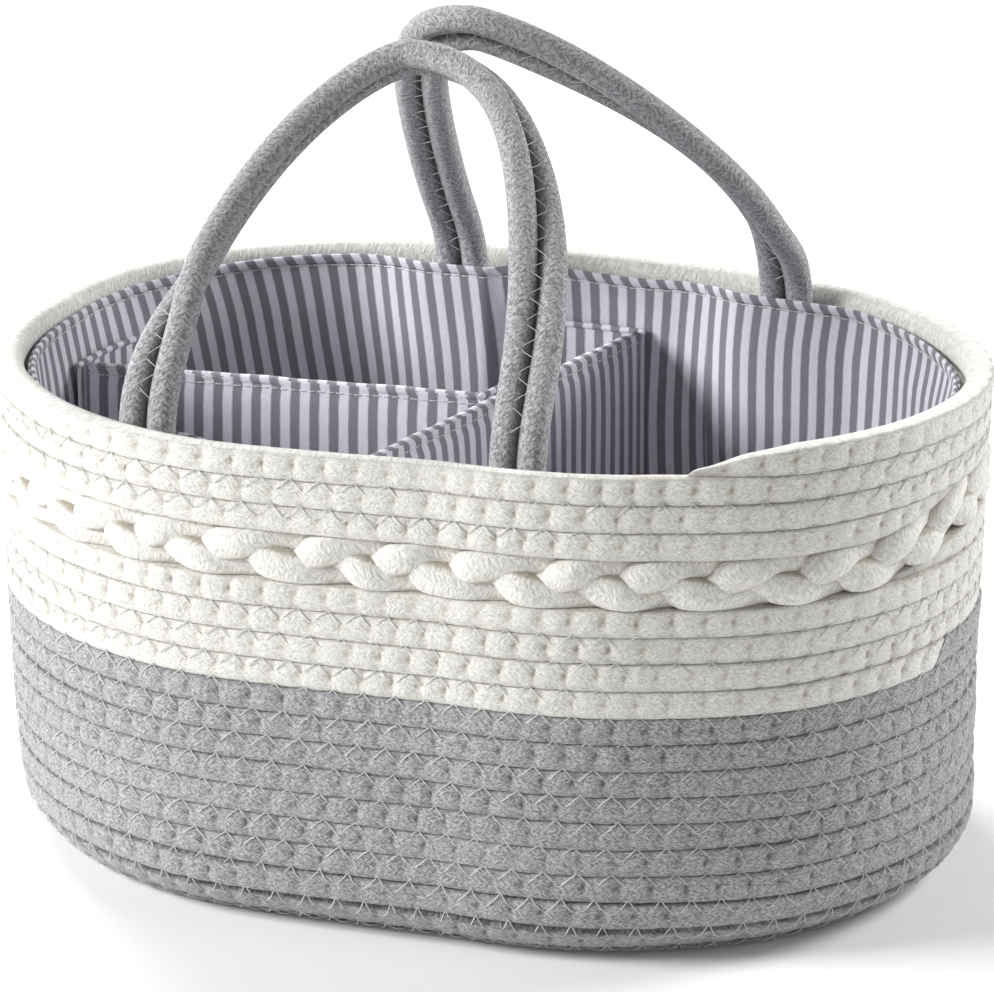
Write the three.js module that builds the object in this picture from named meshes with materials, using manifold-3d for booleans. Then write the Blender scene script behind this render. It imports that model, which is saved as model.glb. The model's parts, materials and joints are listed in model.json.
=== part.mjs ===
// Diaper caddy: an oval basket coiled from cotton rope, with a plaited band, a striped liner,
// two rope handles that fold over the rim, and two lift-out dividers.
// Millimetres, +Z up, the floor at z = 0, the long side along X, the front at -Y.

import * as THREE from 'three';
import Module from 'manifold-3d';

const wasm = await Module();
wasm.setup();

// Overall basket sizes
const halfLength = 190;
const halfWidth = 142;
const rowPitch = 10.2;
const rowGap = 0.5;
const baseCornerRadius = 19;
const seat = 0.3;
const overrun = 2;

// Fineness of searches along the oval
const placeSteps = 200;
const fittingRounds = 12;

// Turns of the coils, counted from the middle of the base, and the angles where a rope ends.
// Angles are clockwise seen from above, from the right-hand end, in degrees.
const stepsPerEnd = 11;
const turnsToColourChange = 22;
const colourChangeAngle = 10;
const turnsUnderBraid = 4;
const braidSeamAngle = 30;
const turnsOverBraid = 3;
const rimTipAngle = 56;
const rimTaperAngle = 16;
const rimTipShare = 0.45;
const footCutShare = 0.2;

// Plaited band
const braidHeight = 18.8;
const braidPeriod = 92;
const braidStepsPerPeriod = 12;
const strandCount = 3;
const strandSides = 5;
const strandHalfHeight = 3.1;
const strandHalfDepth = 2.4;
const strandSwingUp = 6;
const strandSwingOut = 3.87;
const seamClearance = 0.6;

// Liner
const linerThickness = 1.8;
const linerTop = 184;
const linerCornerRadius = 14;
const hemHeight = 6;
const hemThickness = 1;
const hemRise = 0.8;
const linerCornerSteps = 3;
const pocketRamp = 13;
const pocketSideClearance = 1;

// Handles: two ropes side by side in each, with their ends tucked between the wall and the liner
const handleRopeHalf = 5.4;
const handleRopeGap = 0.5;
const handleClearance = 1.5;
const handleWallClearance = 0.4;
const handleSteps = 30;
const handleSides = 6;
const knuckleGap = 0.35;
const tailLength = 62;
const tailDomeShares = [[0.5, 0.86], [0.86, 0.5]];
const frontHandleShift = -11.8;
const frontHandleHalfSpan = 71.8;
const frontHandleRise = 157.5;
const frontHandleSway = -17.5;
const rearHandleShift = 13.8;
const rearHandleHalfSpan = 71.4;
const rearHandleRise = 150.1;
const rearHandleSway = -24.3;
const handles = [
  {
    name: 'front_handle', side: -1, shift: frontHandleShift, halfSpan: frontHandleHalfSpan,
    rise: frontHandleRise, sway: frontHandleSway, swayPower: 1, lean: 47,
    leftLegPower: 1.4, rightLegPower: 2.54, crownPower: 2.03,
    twist: -70, twistStart: 0, twistFull: 0.12, twistEase: 0.64,
  },
  {
    name: 'rear_handle', side: 1, shift: rearHandleShift, halfSpan: rearHandleHalfSpan,
    rise: rearHandleRise, sway: rearHandleSway, swayPower: 2.73, lean: 42.1,
    leftLegPower: 2.11, rightLegPower: 1.4, crownPower: 1.78,
    twist: -38, twistStart: 0.6, twistFull: 0.85, twistEase: 0.92,
  },
];

// Dividers
const dividerTop = 165;
const dividerFloorGap = 0.5;
const boardThickness = 2.4;
const boardClearance = 0.3;
const coverThickness = 1.5;
const coverMargin = 4;
const dividerCornerRadius = 16;
const dividerCornerSteps = 5;
const squareCornerRadius = 3;
const boardFloorGap = 1;
const bindingThickness = 0.9;
const bindingHeight = 5;
const bindingSetBack = 1.5;
const flapThickness = 1.6;
const flapLength = 46;
const flapBottom = 36;
const stripThickness = 0.9;
const stripBottom = 60;
const stripTop = 150;
const stripWidth = 22;
const stripSetBack = 8;
const crossDividerX = -4.5;
const crossDividerTurn = -9.2;
const longDividerTurn = 7.1;
const longDividerY = 18.9;

// Sizes that follow from the ones above
const ropeHalf = (rowPitch - rowGap) / 2;
const wallRadius = halfWidth - ropeHalf;
const endCentre = halfLength - halfWidth;
const flatRadius = wallRadius - baseCornerRadius;
const baseHeight = ropeHalf * (1 - footCutShare);
const cornerLength = baseCornerRadius * Math.PI / 2;
const stepAngle = 180 / stepsPerEnd;
const stationsPerTurn = 2 * (stepsPerEnd + 1);
const baseTurns = flatRadius / rowPitch;
const linerRadius = wallRadius - strandSwingOut - strandHalfDepth - seat;
const linerFloorBottom = baseHeight + ropeHalf + seat;
const linerFloorTop = linerFloorBottom + linerThickness;
const linerFlatRadius = linerRadius - linerCornerRadius;
const linerInnerRadius = linerRadius - linerThickness;

const colours = {
  whiteRope: { color: 0xefede4, roughness: 0.9, metalness: 0 },
  greyRope: { color: 0xa5a5a8, roughness: 0.92, metalness: 0 },
  stripedCotton: { color: 0xb9b6c4, roughness: 0.85, metalness: 0 },
  board: { color: 0xd8d6cf, roughness: 0.6, metalness: 0 },
  touchTape: { color: 0xdcdce2, roughness: 0.8, metalness: 0 },
};

const part = new THREE.Group();

function addMesh(parent, name, geometry, look) {
  const mesh = new THREE.Mesh(geometry, new THREE.MeshStandardMaterial(colours[look]));
  mesh.name = name;
  parent.add(mesh);
  return mesh;
}

function radians(degrees) {
  return degrees * Math.PI / 180;
}

// Closed surface helpers

function signedVolume(points, faces) {
  let total = 0;
  const cross = new THREE.Vector3();
  for (const [a, b, c] of faces) {
    cross.crossVectors(points[b], points[c]);
    total += points[a].dot(cross) / 6;
  }
  return total;
}

function geometryFrom(points, faces) {
  const outward = signedVolume(points, faces) > 0;
  const positions = [];
  for (const face of faces) {
    const ordered = outward ? face : [face[0], face[2], face[1]];
    for (const index of ordered) {
      positions.push(points[index].x, points[index].y, points[index].z);
    }
  }
  const geometry = new THREE.BufferGeometry();
  geometry.setAttribute('position', new THREE.Float32BufferAttribute(positions, 3));
  return geometry;
}

// Joins rings of equal size into a tube with flat ends, or into a closed ring
function loftRings(rings, closed) {
  const points = rings.flat();
  const sides = rings[0].length;
  const faces = [];
  const spans = closed ? rings.length : rings.length - 1;
  for (let i = 0; i < spans; i += 1) {
    const next = (i + 1) % rings.length;
    for (let j = 0; j < sides; j += 1) {
      const k = (j + 1) % sides;
      const a = i * sides + j;
      const b = i * sides + k;
      const c = next * sides + k;
      const d = next * sides + j;
      faces.push([a, b, c], [a, c, d]);
    }
  }
  if (!closed) {
    const last = (rings.length - 1) * sides;
    for (let j = 1; j < sides - 1; j += 1) {
      faces.push([0, j + 1, j]);
      faces.push([last, last + j, last + j + 1]);
    }
  }
  return geometryFrom(points, faces);
}

// The oval of the basket: two straight sides and two round ends, as a polygon of 24 corners.
// A corner's place is a number from 0 at the back right, clockwise seen from above.

function cornerAngle(index) {
  const place = ((index % stationsPerTurn) + stationsPerTurn) % stationsPerTurn;
  const turn = Math.floor(index / stationsPerTurn) * 360;
  if (place <= stepsPerEnd) {
    return turn - 90 + place * stepAngle;
  }
  return turn + 90 + (place - stepsPerEnd - 1) * stepAngle;
}

function cornerCentre(index) {
  const place = ((index % stationsPerTurn) + stationsPerTurn) % stationsPerTurn;
  return place <= stepsPerEnd ? endCentre : -endCentre;
}

function outwardAt(angle) {
  return new THREE.Vector3(Math.cos(radians(angle)), -Math.sin(radians(angle)), 0);
}

// A place may lie between two corners; it is then on the straight line that joins them
function ovalPoint(place, radius) {
  const low = Math.floor(place);
  const share = place - low;
  const start = outwardAt(cornerAngle(low)).multiplyScalar(radius);
  start.x += cornerCentre(low);
  const end = outwardAt(cornerAngle(low + 1)).multiplyScalar(radius);
  end.x += cornerCentre(low + 1);
  return start.lerp(end, share);
}

// The place at which the oval of a radius has a given x, on the front (-1) or the back (+1)
function placeAtX(side, x, radius) {
  const middle = Math.floor(stepsPerEnd / 2) + 1;
  const first = side < 0 ? middle : stationsPerTurn - middle;
  const last = first + stepsPerEnd;
  for (let place = first; place < last; place += 1) {
    const a = ovalPoint(place, radius).x;
    const b = ovalPoint(place + 1, radius).x;
    if ((a - x) * (b - x) <= 0 && a !== b) {
      return place + (x - a) / (b - a);
    }
  }
  throw new Error('no such place on the oval');
}

// Coiled rope: the way from the middle of the base, round the corner and up the wall

function profileAt(distance) {
  if (distance <= flatRadius) {
    return { radius: distance, height: baseHeight, tilt: 0 };
  }
  if (distance <= flatRadius + cornerLength) {
    const tilt = (distance - flatRadius) / baseCornerRadius;
    return {
      radius: flatRadius + baseCornerRadius * Math.sin(tilt),
      height: baseHeight + baseCornerRadius * (1 - Math.cos(tilt)),
      tilt,
    };
  }
  return {
    radius: wallRadius,
    height: baseHeight + baseCornerRadius + distance - flatRadius - cornerLength,
    tilt: Math.PI / 2,
  };
}

function profileAtAngle(angle) {
  return profileAt(rowPitch * angle / 360);
}

// Six corners of the rope's section: along the profile, then across it, in shares of its half size.
// A row that stands on the floor is cut flat there.
const ropeSectionShares = [[1, 0], [0.5, 1], [-0.5, 1], [-1, 0], [-0.5, -1], [0.5, -1]];
const footSectionShares = [
  [1, 0], [0.6, 1 - footCutShare], [-0.6, 1 - footCutShare], [-1, 0], [-0.5, -1], [0.5, -1],
];

function ropeRing(centre, outward, tilt, half, shares) {
  const up = new THREE.Vector3(0, 0, 1);
  const along = outward.clone().multiplyScalar(Math.cos(tilt)).addScaledVector(up, Math.sin(tilt));
  const across = outward.clone().multiplyScalar(Math.sin(tilt)).addScaledVector(up, -Math.cos(tilt));
  return shares.map(([a, b]) => {
    const point = centre.clone().addScaledVector(along, a * half).addScaledVector(across, b * half);
    point.z = Math.max(point.z, 0);
    return point;
  });
}

// Stations of a winding between two angles: its two ends and every corner of the oval between
function windingStations(startAngle, endAngle) {
  const stations = [{ angle: startAngle, centre: endCentreAt(startAngle) }];
  const firstIndex = Math.floor(startAngle / 360) * stationsPerTurn;
  for (let index = firstIndex; cornerAngle(index) < endAngle; index += 1) {
    if (cornerAngle(index) > startAngle) {
      stations.push({ angle: cornerAngle(index), centre: cornerCentre(index) });
    }
  }
  stations.push({ angle: endAngle, centre: endCentreAt(endAngle) });
  return stations;
}

function endCentreAt(angle) {
  const turned = (((angle + 90) % 360) + 360) % 360;
  return turned < 180 ? endCentre : -endCentre;
}

// An end between two corners lies on the line between them, so its radius is a little smaller
function chordShare(angle) {
  const beyond = (((angle + 90) % stepAngle) + stepAngle) % stepAngle;
  return Math.cos(radians(stepAngle / 2)) / Math.cos(radians(beyond - stepAngle / 2));
}

function windingRings(startAngle, endAngle, lift, halfAt) {
  const stations = windingStations(startAngle, endAngle);
  return stations.map(({ angle, centre }, index) => {
    const profile = profileAtAngle(angle);
    const atEnd = index === 0 || index === stations.length - 1;
    const radius = profile.radius * (atEnd ? chordShare(angle) : 1);
    const outward = outwardAt(angle);
    const half = halfAt ? halfAt(angle) : ropeHalf;
    const middle = outward.clone().multiplyScalar(radius);
    middle.x += centre;
    middle.z = profile.height + lift + half - ropeHalf;
    return ropeRing(middle, outward, profile.tilt, half, ropeSectionShares);
  });
}

// The base starts as a rope laid straight and turned back round its own end. That spiral is made of
// half circles about two points a quarter row off the middle line, and it eases turn by turn into
// one that widens evenly about the middle line, which the corner and the wall follow.
function baseRings(endAngle) {
  const startAngle = 90;
  const stations = windingStations(startAngle, endAngle);
  stations.unshift({ angle: startAngle, centre: endCentre });
  return stations.map(({ angle, centre }, index) => {
    const outward = outwardAt(angle);
    const side = Math.sign(centre);
    const halfTurns = side < 0
      ? 2 * Math.floor((angle - 90) / 360) + 1
      : 2 * Math.floor((angle + 90) / 360);
    const bent = outward.clone().multiplyScalar(rowPitch / 2 * halfTurns);
    bent.y -= side * rowPitch / 4;
    const atEnd = index === stations.length - 1;
    const radius = profileAtAngle(angle).radius * (atEnd ? chordShare(angle) : 1);
    const even = outward.clone().multiplyScalar(radius);
    const middle = bent.lerp(even, (angle - startAngle) / (endAngle - startAngle));
    middle.x += centre;
    middle.z = baseHeight;
    return ropeRing(middle, outward, 0, ropeHalf, footSectionShares);
  });
}

// The least distance between two sets of long edges of tubes, on points along them
function edgePoints(rings, samples) {
  const points = [];
  for (let i = 0; i < rings.length - 1; i += 1) {
    for (let j = 0; j < rings[i].length; j += 1) {
      for (let k = 0; k < samples; k += 1) {
        points.push({ station: i, at: rings[i][j].clone().lerp(rings[i + 1][j], k / samples) });
      }
    }
  }
  return points;
}

function leastGap(ringsA, ringsB, leastStations) {
  const pointsA = edgePoints(ringsA, 2);
  const pointsB = edgePoints(ringsB, 2);
  let least = Infinity;
  for (const a of pointsA) {
    for (const b of pointsB) {
      if (Math.abs(a.station - b.station) >= leastStations) {
        least = Math.min(least, a.at.distanceToSquared(b.at));
      }
    }
  }
  return Math.sqrt(least);
}

function addWinding(name, rings, look) {
  const gap = leastGap(rings, rings, stepsPerEnd);
  console.log(`${name}: least gap to itself ${gap.toFixed(2)} mm`);
  addMesh(part, name, loftRings(rings, false), look);
}

// Angles and heights of the coils
const turnAngle = 360;
const baseEndAngle = baseTurns * turnAngle;
const colourAngle = turnsToColourChange * turnAngle + colourChangeAngle;
const seamTurn = (turnsToColourChange + turnsUnderBraid) * turnAngle;
const seamAngle = seamTurn + braidSeamAngle;
const rimEndAngle = (turnsToColourChange + turnsUnderBraid + turnsOverBraid) * turnAngle + rimTipAngle;
const seatAngle = seat / wallRadius * 180 / Math.PI;
const seamClearAngle = seamClearance / wallRadius * 180 / Math.PI;

function taperedHalf(angle) {
  const left = (rimEndAngle - angle) / rimTaperAngle;
  return ropeHalf * Math.min(1, rimTipShare + (1 - rimTipShare) * left);
}

function buildCoils() {
  addWinding('base_coil', baseRings(baseEndAngle - seatAngle), 'greyRope');
  const lowerRings = windingRings(baseEndAngle + seatAngle, colourAngle - seatAngle, 0);
  addWinding('lower_wall_coil', lowerRings, 'greyRope');
  const middleRings = windingRings(colourAngle + seatAngle, seamAngle - seamClearAngle, 0);
  addWinding('middle_wall_coil', middleRings, 'whiteRope');
  const upperRings = windingRings(seamAngle + seamClearAngle, rimEndAngle, braidHeight, taperedHalf);
  addWinding('upper_wall_coil', upperRings, 'whiteRope');
}

// Plaited band: three strands that swing up and down and pass over each other in turn

function braidStations() {
  const endArc = Math.PI * wallRadius;
  const straight = 2 * endCentre;
  const halfGirth = endArc + straight;
  const length = 2 * halfGirth - 2 * seamClearance;
  const steps = Math.round(length / braidPeriod * braidStepsPerPeriod);
  const stations = [];
  for (let step = 0; step <= steps; step += 1) {
    const travelled = wallRadius * radians(braidSeamAngle + 90) + seamClearance + length * step / steps;
    const halfTurns = Math.floor(travelled / halfGirth);
    const within = travelled - halfTurns * halfGirth;
    const side = halfTurns % 2 === 0 ? 1 : -1;
    const turned = Math.min(within, endArc) / wallRadius * 180 / Math.PI;
    const run = Math.max(within - endArc, 0);
    stations.push({ angle: -90 + 180 * halfTurns + turned, centre: side * (endCentre - run), step });
  }
  return stations;
}

function strandRings(strand) {
  const startHeight = profileAtAngle(seamAngle).height - rowPitch / 2 + braidHeight / 2;
  const up = new THREE.Vector3(0, 0, 1);
  return braidStations().map(({ angle, centre, step }) => {
    const phase = 2 * Math.PI * (step / braidStepsPerPeriod + strand / strandCount);
    const outward = outwardAt(angle);
    const middle = outward.clone().multiplyScalar(wallRadius + strandSwingOut * Math.sin(2 * phase));
    middle.x += centre;
    middle.z = startHeight + rowPitch * (angle - braidSeamAngle) / 360 + strandSwingUp * Math.cos(phase);
    const ring = [];
    for (let side = 0; side < strandSides; side += 1) {
      const around = 2 * Math.PI * side / strandSides;
      ring.push(middle.clone()
        .addScaledVector(outward, strandHalfDepth * Math.cos(around))
        .addScaledVector(up, strandHalfHeight * Math.sin(around)));
    }
    return ring;
  });
}

function buildBraid() {
  const strands = Array.from({ length: strandCount }, (unused, strand) => strandRings(strand));
  for (let i = 0; i < strands.length; i += 1) {
    const next = strands[(i + 1) % strands.length];
    const gap = leastGap(strands[i], next, 0);
    console.log(`braid strands ${i + 1} and next: least gap ${gap.toFixed(2)} mm`);
    addMesh(part, `braid_strand_${i + 1}`, loftRings(strands[i], false), 'whiteRope');
  }
}

// Liner

const tailSpacing = 2 * handleRopeHalf + handleRopeGap;
const tailReach = tailSpacing / 2 + handleRopeHalf;

function wallInnerAt(side, x) {
  const place = placeAtX(side, x, wallRadius - ropeHalf);
  return Math.abs(ovalPoint(place, wallRadius - ropeHalf).y);
}

// The hinge line of a handle is as near the wall as its outermost rope end allows
function hingeYOf({ side, shift, halfSpan }) {
  const footReach = Math.sign(shift) * (Math.abs(shift) + halfSpan + tailReach);
  return wallInnerAt(side, footReach) - handleWallClearance - handleRopeHalf;
}

// Where the liner bulges inwards round the rope ends: its side, and its full and ramped reach
function pocketEdges() {
  const inside = tailReach + pocketSideClearance;
  const pockets = [];
  for (const handle of handles) {
    const { side, shift, halfSpan } = handle;
    const innerY = hingeYOf(handle) - handleRopeHalf - seat;
    for (const end of [-1, 1]) {
      const x = shift + end * halfSpan;
      const edges = [x - inside - pocketRamp, x - inside, x + inside, x + inside + pocketRamp];
      const places = edges.map((edge) => placeAtX(side, edge, linerRadius));
      pockets.push({ side, innerY, places: places.sort((one, other) => one - other) });
    }
  }
  return pockets;
}

const pockets = pocketEdges();

function pocketShare(place, { places }) {
  const here = place < places[0] ? place + stationsPerTurn : place;
  const rise = (here - places[0]) / (places[1] - places[0]);
  const fall = (places[3] - here) / (places[3] - places[2]);
  return Math.max(0, Math.min(1, rise, fall));
}

// The corners of the oval, and the edges of the pockets between them
function linerPlaces() {
  const places = pockets.flatMap((pocket) => pocket.places.map((place) => place % stationsPerTurn));
  for (let index = 0; index < stationsPerTurn; index += 1) {
    places.push(index);
  }
  return places.sort((one, other) => one - other);
}

// A point of the liner: depth is counted inwards from the liner's outer face
function linerPoint(place, radius, height, depth, pocketed) {
  const point = ovalPoint(place, radius);
  for (const pocket of pocketed ? pockets : []) {
    const share = pocketShare(place, pocket);
    const drawnIn = Math.min(Math.abs(point.y), pocket.innerY - depth);
    point.y = share > 0 ? pocket.side * (Math.abs(point.y) * (1 - share) + drawnIn * share) : point.y;
  }
  point.z = height;
  return point;
}

const tailBottom = linerTop - tailLength;

function linerSideRows(depth) {
  const rows = [];
  const bendRadius = linerCornerRadius - depth;
  for (let step = 0; step <= linerCornerSteps; step += 1) {
    const tilt = step / linerCornerSteps * Math.PI / 2;
    rows.push({
      radius: linerFlatRadius + seat / 2 + (bendRadius - seat / 2) * Math.sin(tilt),
      height: linerFloorBottom + linerCornerRadius - bendRadius * Math.cos(tilt),
      pocketed: false,
    });
  }
  const wall = { radius: linerRadius - depth };
  rows.push({ ...wall, height: tailBottom - pocketRamp - seat, pocketed: false });
  rows.push({ ...wall, height: tailBottom - seat, pocketed: true });
  rows.push({ ...wall, height: linerTop, pocketed: true });
  return rows;
}

function buildLiner() {
  const outer = linerSideRows(0);
  const inner = linerSideRows(linerThickness);
  const wallRings = linerPlaces().map((station) => {
    const outerPoints = outer.map((row) => linerPoint(station, row.radius, row.height, 0, row.pocketed));
    const innerPoints = inner.map(
      (row) => linerPoint(station, row.radius, row.height, linerThickness, row.pocketed));
    return outerPoints.concat(innerPoints.reverse());
  });
  addMesh(part, 'liner_wall', loftRings(wallRings, true), 'stripedCotton');

  const hemOuter = linerThickness + seat;
  const hemInner = hemOuter + hemThickness;
  const hemBottom = linerTop - hemHeight;
  const hemTop = linerTop + hemRise;
  const hemRings = linerPlaces().map((station) => [
    linerPoint(station, linerRadius - hemOuter, hemBottom, hemOuter, true),
    linerPoint(station, linerRadius - hemOuter, hemTop, hemOuter, true),
    linerPoint(station, linerRadius - hemInner, hemTop, hemInner, true),
    linerPoint(station, linerRadius - hemInner, hemBottom, hemInner, true),
  ]);
  addMesh(part, 'liner_hem', loftRings(hemRings, true), 'stripedCotton');

  const floorRings = [linerFloorBottom, linerFloorTop].map((height) => {
    const ring = [];
    for (let index = 0; index < stationsPerTurn; index += 1) {
      const point = ovalPoint(index, linerFlatRadius - seat / 2);
      point.z = height;
      ring.push(point);
    }
    return ring;
  });
  addMesh(part, 'liner_floor', loftRings(floorRings, false), 'stripedCotton');
}

// Handles

function rimTopAt(side, x) {
  const place = placeAtX(side, x, wallRadius);
  const angle = cornerAngle(Math.floor(place)) + (place - Math.floor(place)) * stepAngle;
  const turned = ((angle - rimTipAngle) % 360 + 360) % 360;
  return profileAtAngle(rimEndAngle).height + braidHeight + ropeHalf - rowPitch * (1 - turned / 360);
}

function hingeHeight({ side, shift, halfSpan }) {
  const left = rimTopAt(side, shift - halfSpan);
  const right = rimTopAt(side, shift + halfSpan);
  return Math.max(left, right) + handleRopeHalf + handleClearance;
}

// A point of the loop's middle line: its turn falls from half a turn at the left foot to 0
function handlePoint(handle, turn) {
  const start = handleRopeHalf + knuckleGap;
  const across = Math.cos(turn);
  const legPower = across < 0 ? handle.leftLegPower : handle.rightLegPower;
  const climb = Math.abs(Math.sin(turn)) ** (2 / handle.crownPower);
  const spread = handle.halfSpan * Math.sign(across) * Math.abs(across) ** (2 / legPower);
  const swayed = handle.sway * climb ** handle.swayPower;
  return new THREE.Vector2(spread + swayed, start + (handle.rise - start) * climb);
}

// The two ropes of a loop lie side by side, and turn about each other on one leg
function twistAt({ twist, twistStart, twistFull, twistEase }, share) {
  const rise = (share - twistStart) / (twistFull - twistStart);
  const fall = (1 - share) / (1 - twistEase);
  const part = Math.max(0, Math.min(1, rise, fall));
  return radians(twist) * (3 - 2 * part) * part ** 2;
}

function handleRings(handle, offset) {
  const rings = [];
  const small = 1e-3;
  for (let step = 0; step <= handleSteps; step += 1) {
    const turn = Math.PI * (1 - step / handleSteps);
    const before = handlePoint(handle, Math.min(turn + small, Math.PI));
    const after = handlePoint(handle, Math.max(turn - small, 0));
    const along = after.sub(before).normalize();
    if (step === 0) {
      along.set(0, 1);
    }
    if (step === handleSteps) {
      along.set(0, -1);
    }
    const outward = new THREE.Vector3(-along.y, 0, along.x);
    const inwards = new THREE.Vector3(0, handle.side, 0);
    const twist = twistAt(handle, step / handleSteps);
    const flat = handlePoint(handle, turn);
    const middle = new THREE.Vector3(flat.x, 0, flat.y)
      .addScaledVector(outward, offset * Math.cos(twist))
      .addScaledVector(inwards, offset * Math.sin(twist));
    const ring = [];
    for (let side = 0; side < handleSides; side += 1) {
      const around = 2 * Math.PI * side / handleSides + twist * handle.side;
      ring.push(middle.clone()
        .addScaledVector(outward, handleRopeHalf * Math.cos(around))
        .addScaledVector(inwards, handle.side * handleRopeHalf * Math.sin(around)));
    }
    rings.push(ring);
  }
  return rings;
}

function tailRings(bottom, top) {
  const dome = tailDomeShares.map(([rise, share]) => [top + handleRopeHalf * rise, share]);
  return [[bottom, 1], [top, 1], ...dome].map(([height, share]) => {
    const ring = [];
    for (let side = 0; side < handleSides; side += 1) {
      const around = 2 * Math.PI * side / handleSides;
      const across = handleRopeHalf * share * Math.cos(around);
      const thick = handleRopeHalf * share * Math.sin(around);
      ring.push(new THREE.Vector3(across, thick, height));
    }
    return ring;
  });
}

function buildHandles() {
  for (const handle of handles) {
    const top = hingeHeight(handle);
    const hingeY = hingeYOf(handle);
    const frame = new THREE.Group();
    frame.position.set(handle.shift, handle.side * hingeY, top);
    frame.rotation.x = handle.side * radians(handle.lean);
    part.add(frame);
    const halfSpacing = tailSpacing / 2;
    const outer = loftRings(handleRings(handle, halfSpacing), false);
    const inner = loftRings(handleRings(handle, -halfSpacing), false);
    addMesh(frame, `${handle.name}_outer_rope`, outer, 'greyRope');
    addMesh(frame, `${handle.name}_inner_rope`, inner, 'greyRope');
    const tailXs = [-1, 1].flatMap((end) => (
      [-1, 1].map((one) => end * handle.halfSpan + one * halfSpacing)));
    tailXs.forEach((x, index) => {
      const rope = loftRings(tailRings(tailBottom, top), false);
      const tail = addMesh(part, `${handle.name}_tail_${index + 1}`, rope, 'greyRope');
      tail.position.set(handle.shift + x, handle.side * hingeY, 0);
    });
    console.log(`${handle.name}: hinge at y ${(handle.side * hingeY).toFixed(2)}, z ${top.toFixed(2)} mm`);
  }
}

// Dividers: a fabric sleeve open at the bottom, a stiff board inside, a binding over the top edge,
// and end flaps that hold to the liner, or to the other divider, with touch tape.

const panelHalf = boardThickness / 2 + boardClearance + coverThickness;
const dividerBottom = linerFloorTop + dividerFloorGap;
const hookDepth = seat + stripThickness + seat;
const tapeStack = hookDepth + stripThickness + seat;
const flapStack = tapeStack + flapThickness;

function solidFrom(geometry) {
  const position = geometry.getAttribute('position');
  const seen = new Map();
  const vertices = [];
  const triangles = [];
  for (let i = 0; i < position.count; i += 1) {
    const values = [position.getX(i), position.getY(i), position.getZ(i)];
    const key = values.map((value) => value.toFixed(5)).join(',');
    if (!seen.has(key)) {
      seen.set(key, vertices.length / 3);
      vertices.push(...values);
    }
    triangles.push(seen.get(key));
  }
  const faces = [];
  for (let i = 0; i < triangles.length; i += 3) {
    const [a, b, c] = triangles.slice(i, i + 3);
    if (a !== b && b !== c && a !== c) {
      faces.push(a, b, c);
    }
  }
  return new wasm.Manifold(new wasm.Mesh({
    numProp: 3,
    vertProperties: new Float32Array(vertices),
    triVerts: new Uint32Array(faces),
  }));
}

function geometryOf(solid) {
  const mesh = solid.getMesh();
  const geometry = new THREE.BufferGeometry();
  geometry.setAttribute('position', new THREE.Float32BufferAttribute(Array.from(mesh.vertProperties), 3));
  geometry.setIndex(Array.from(mesh.triVerts));
  return geometry.toNonIndexed();
}

// A flat outline in length and height, given thickness, standing along local X
function standingSlab(outline, thickness) {
  const settings = { depth: thickness, bevelEnabled: false, curveSegments: dividerCornerSteps };
  const geometry = new THREE.ExtrudeGeometry(outline, settings);
  geometry.translate(0, 0, -thickness / 2);
  geometry.rotateX(Math.PI / 2);
  return geometry.index ? geometry.toNonIndexed() : geometry;
}

// The panel's outline, drawn in by a margin, with its lower corners rounded.
// Between them a tongue runs down to the floor that is asked for.
function panelOutline({ low, high, lowRadius, highRadius }, margin, floor, tongueInset) {
  const tongueLow = low + lowRadius + tongueInset;
  const tongueHigh = high - highRadius - tongueInset;
  const shape = new THREE.Shape();
  shape.moveTo(tongueLow, floor);
  shape.lineTo(tongueHigh, floor);
  if (margin > 0) {
    shape.lineTo(tongueHigh, dividerBottom + margin);
  }
  shape.absarc(high - highRadius, dividerBottom + highRadius, highRadius - margin, -Math.PI / 2, 0, false);
  shape.lineTo(high - margin, dividerTop - margin);
  shape.lineTo(low + margin, dividerTop - margin);
  shape.absarc(low + lowRadius, dividerBottom + lowRadius, lowRadius - margin, -Math.PI, -Math.PI / 2, false);
  if (margin > 0) {
    shape.lineTo(tongueLow, dividerBottom + margin);
  }
  shape.closePath();
  return shape;
}

function buildPanel(frame, name, low, high, highRadius) {
  const ends = { low, high, lowRadius: dividerCornerRadius, highRadius };
  const sleeve = solidFrom(standingSlab(panelOutline(ends, 0, dividerBottom, 0), 2 * panelHalf));
  const slotOutline = panelOutline(ends, coverMargin, dividerBottom - overrun, 0);
  const slot = solidFrom(standingSlab(slotOutline, boardThickness + 2 * boardClearance));
  addMesh(frame, `${name}_cover`, geometryOf(sleeve.subtract(slot)), 'stripedCotton');

  const boardMargin = coverMargin + boardClearance;
  const boardOutline = panelOutline(ends, boardMargin, dividerBottom + boardFloorGap, boardClearance);
  addMesh(frame, `${name}_board`, standingSlab(boardOutline, boardThickness), 'board');

  const innerHalf = panelHalf + seat;
  const outerHalf = innerHalf + bindingThickness;
  const bindingBottom = dividerTop - bindingHeight;
  const bindingTop = dividerTop + seat + bindingThickness;
  const channel = new THREE.Shape();
  channel.moveTo(-outerHalf, bindingBottom);
  channel.lineTo(-innerHalf, bindingBottom);
  channel.lineTo(-innerHalf, dividerTop + seat);
  channel.lineTo(innerHalf, dividerTop + seat);
  channel.lineTo(innerHalf, bindingBottom);
  channel.lineTo(outerHalf, bindingBottom);
  channel.lineTo(outerHalf, bindingTop);
  channel.lineTo(-outerHalf, bindingTop);
  channel.closePath();
  const bindingLength = high - low - 2 * bindingSetBack;
  const binding = new THREE.ExtrudeGeometry(channel, { depth: bindingLength, bevelEnabled: false });
  binding.rotateX(Math.PI / 2);
  binding.rotateZ(Math.PI / 2);
  binding.translate(low + bindingSetBack, 0, 0);
  addMesh(frame, `${name}_binding`, binding, 'stripedCotton');
}

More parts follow.
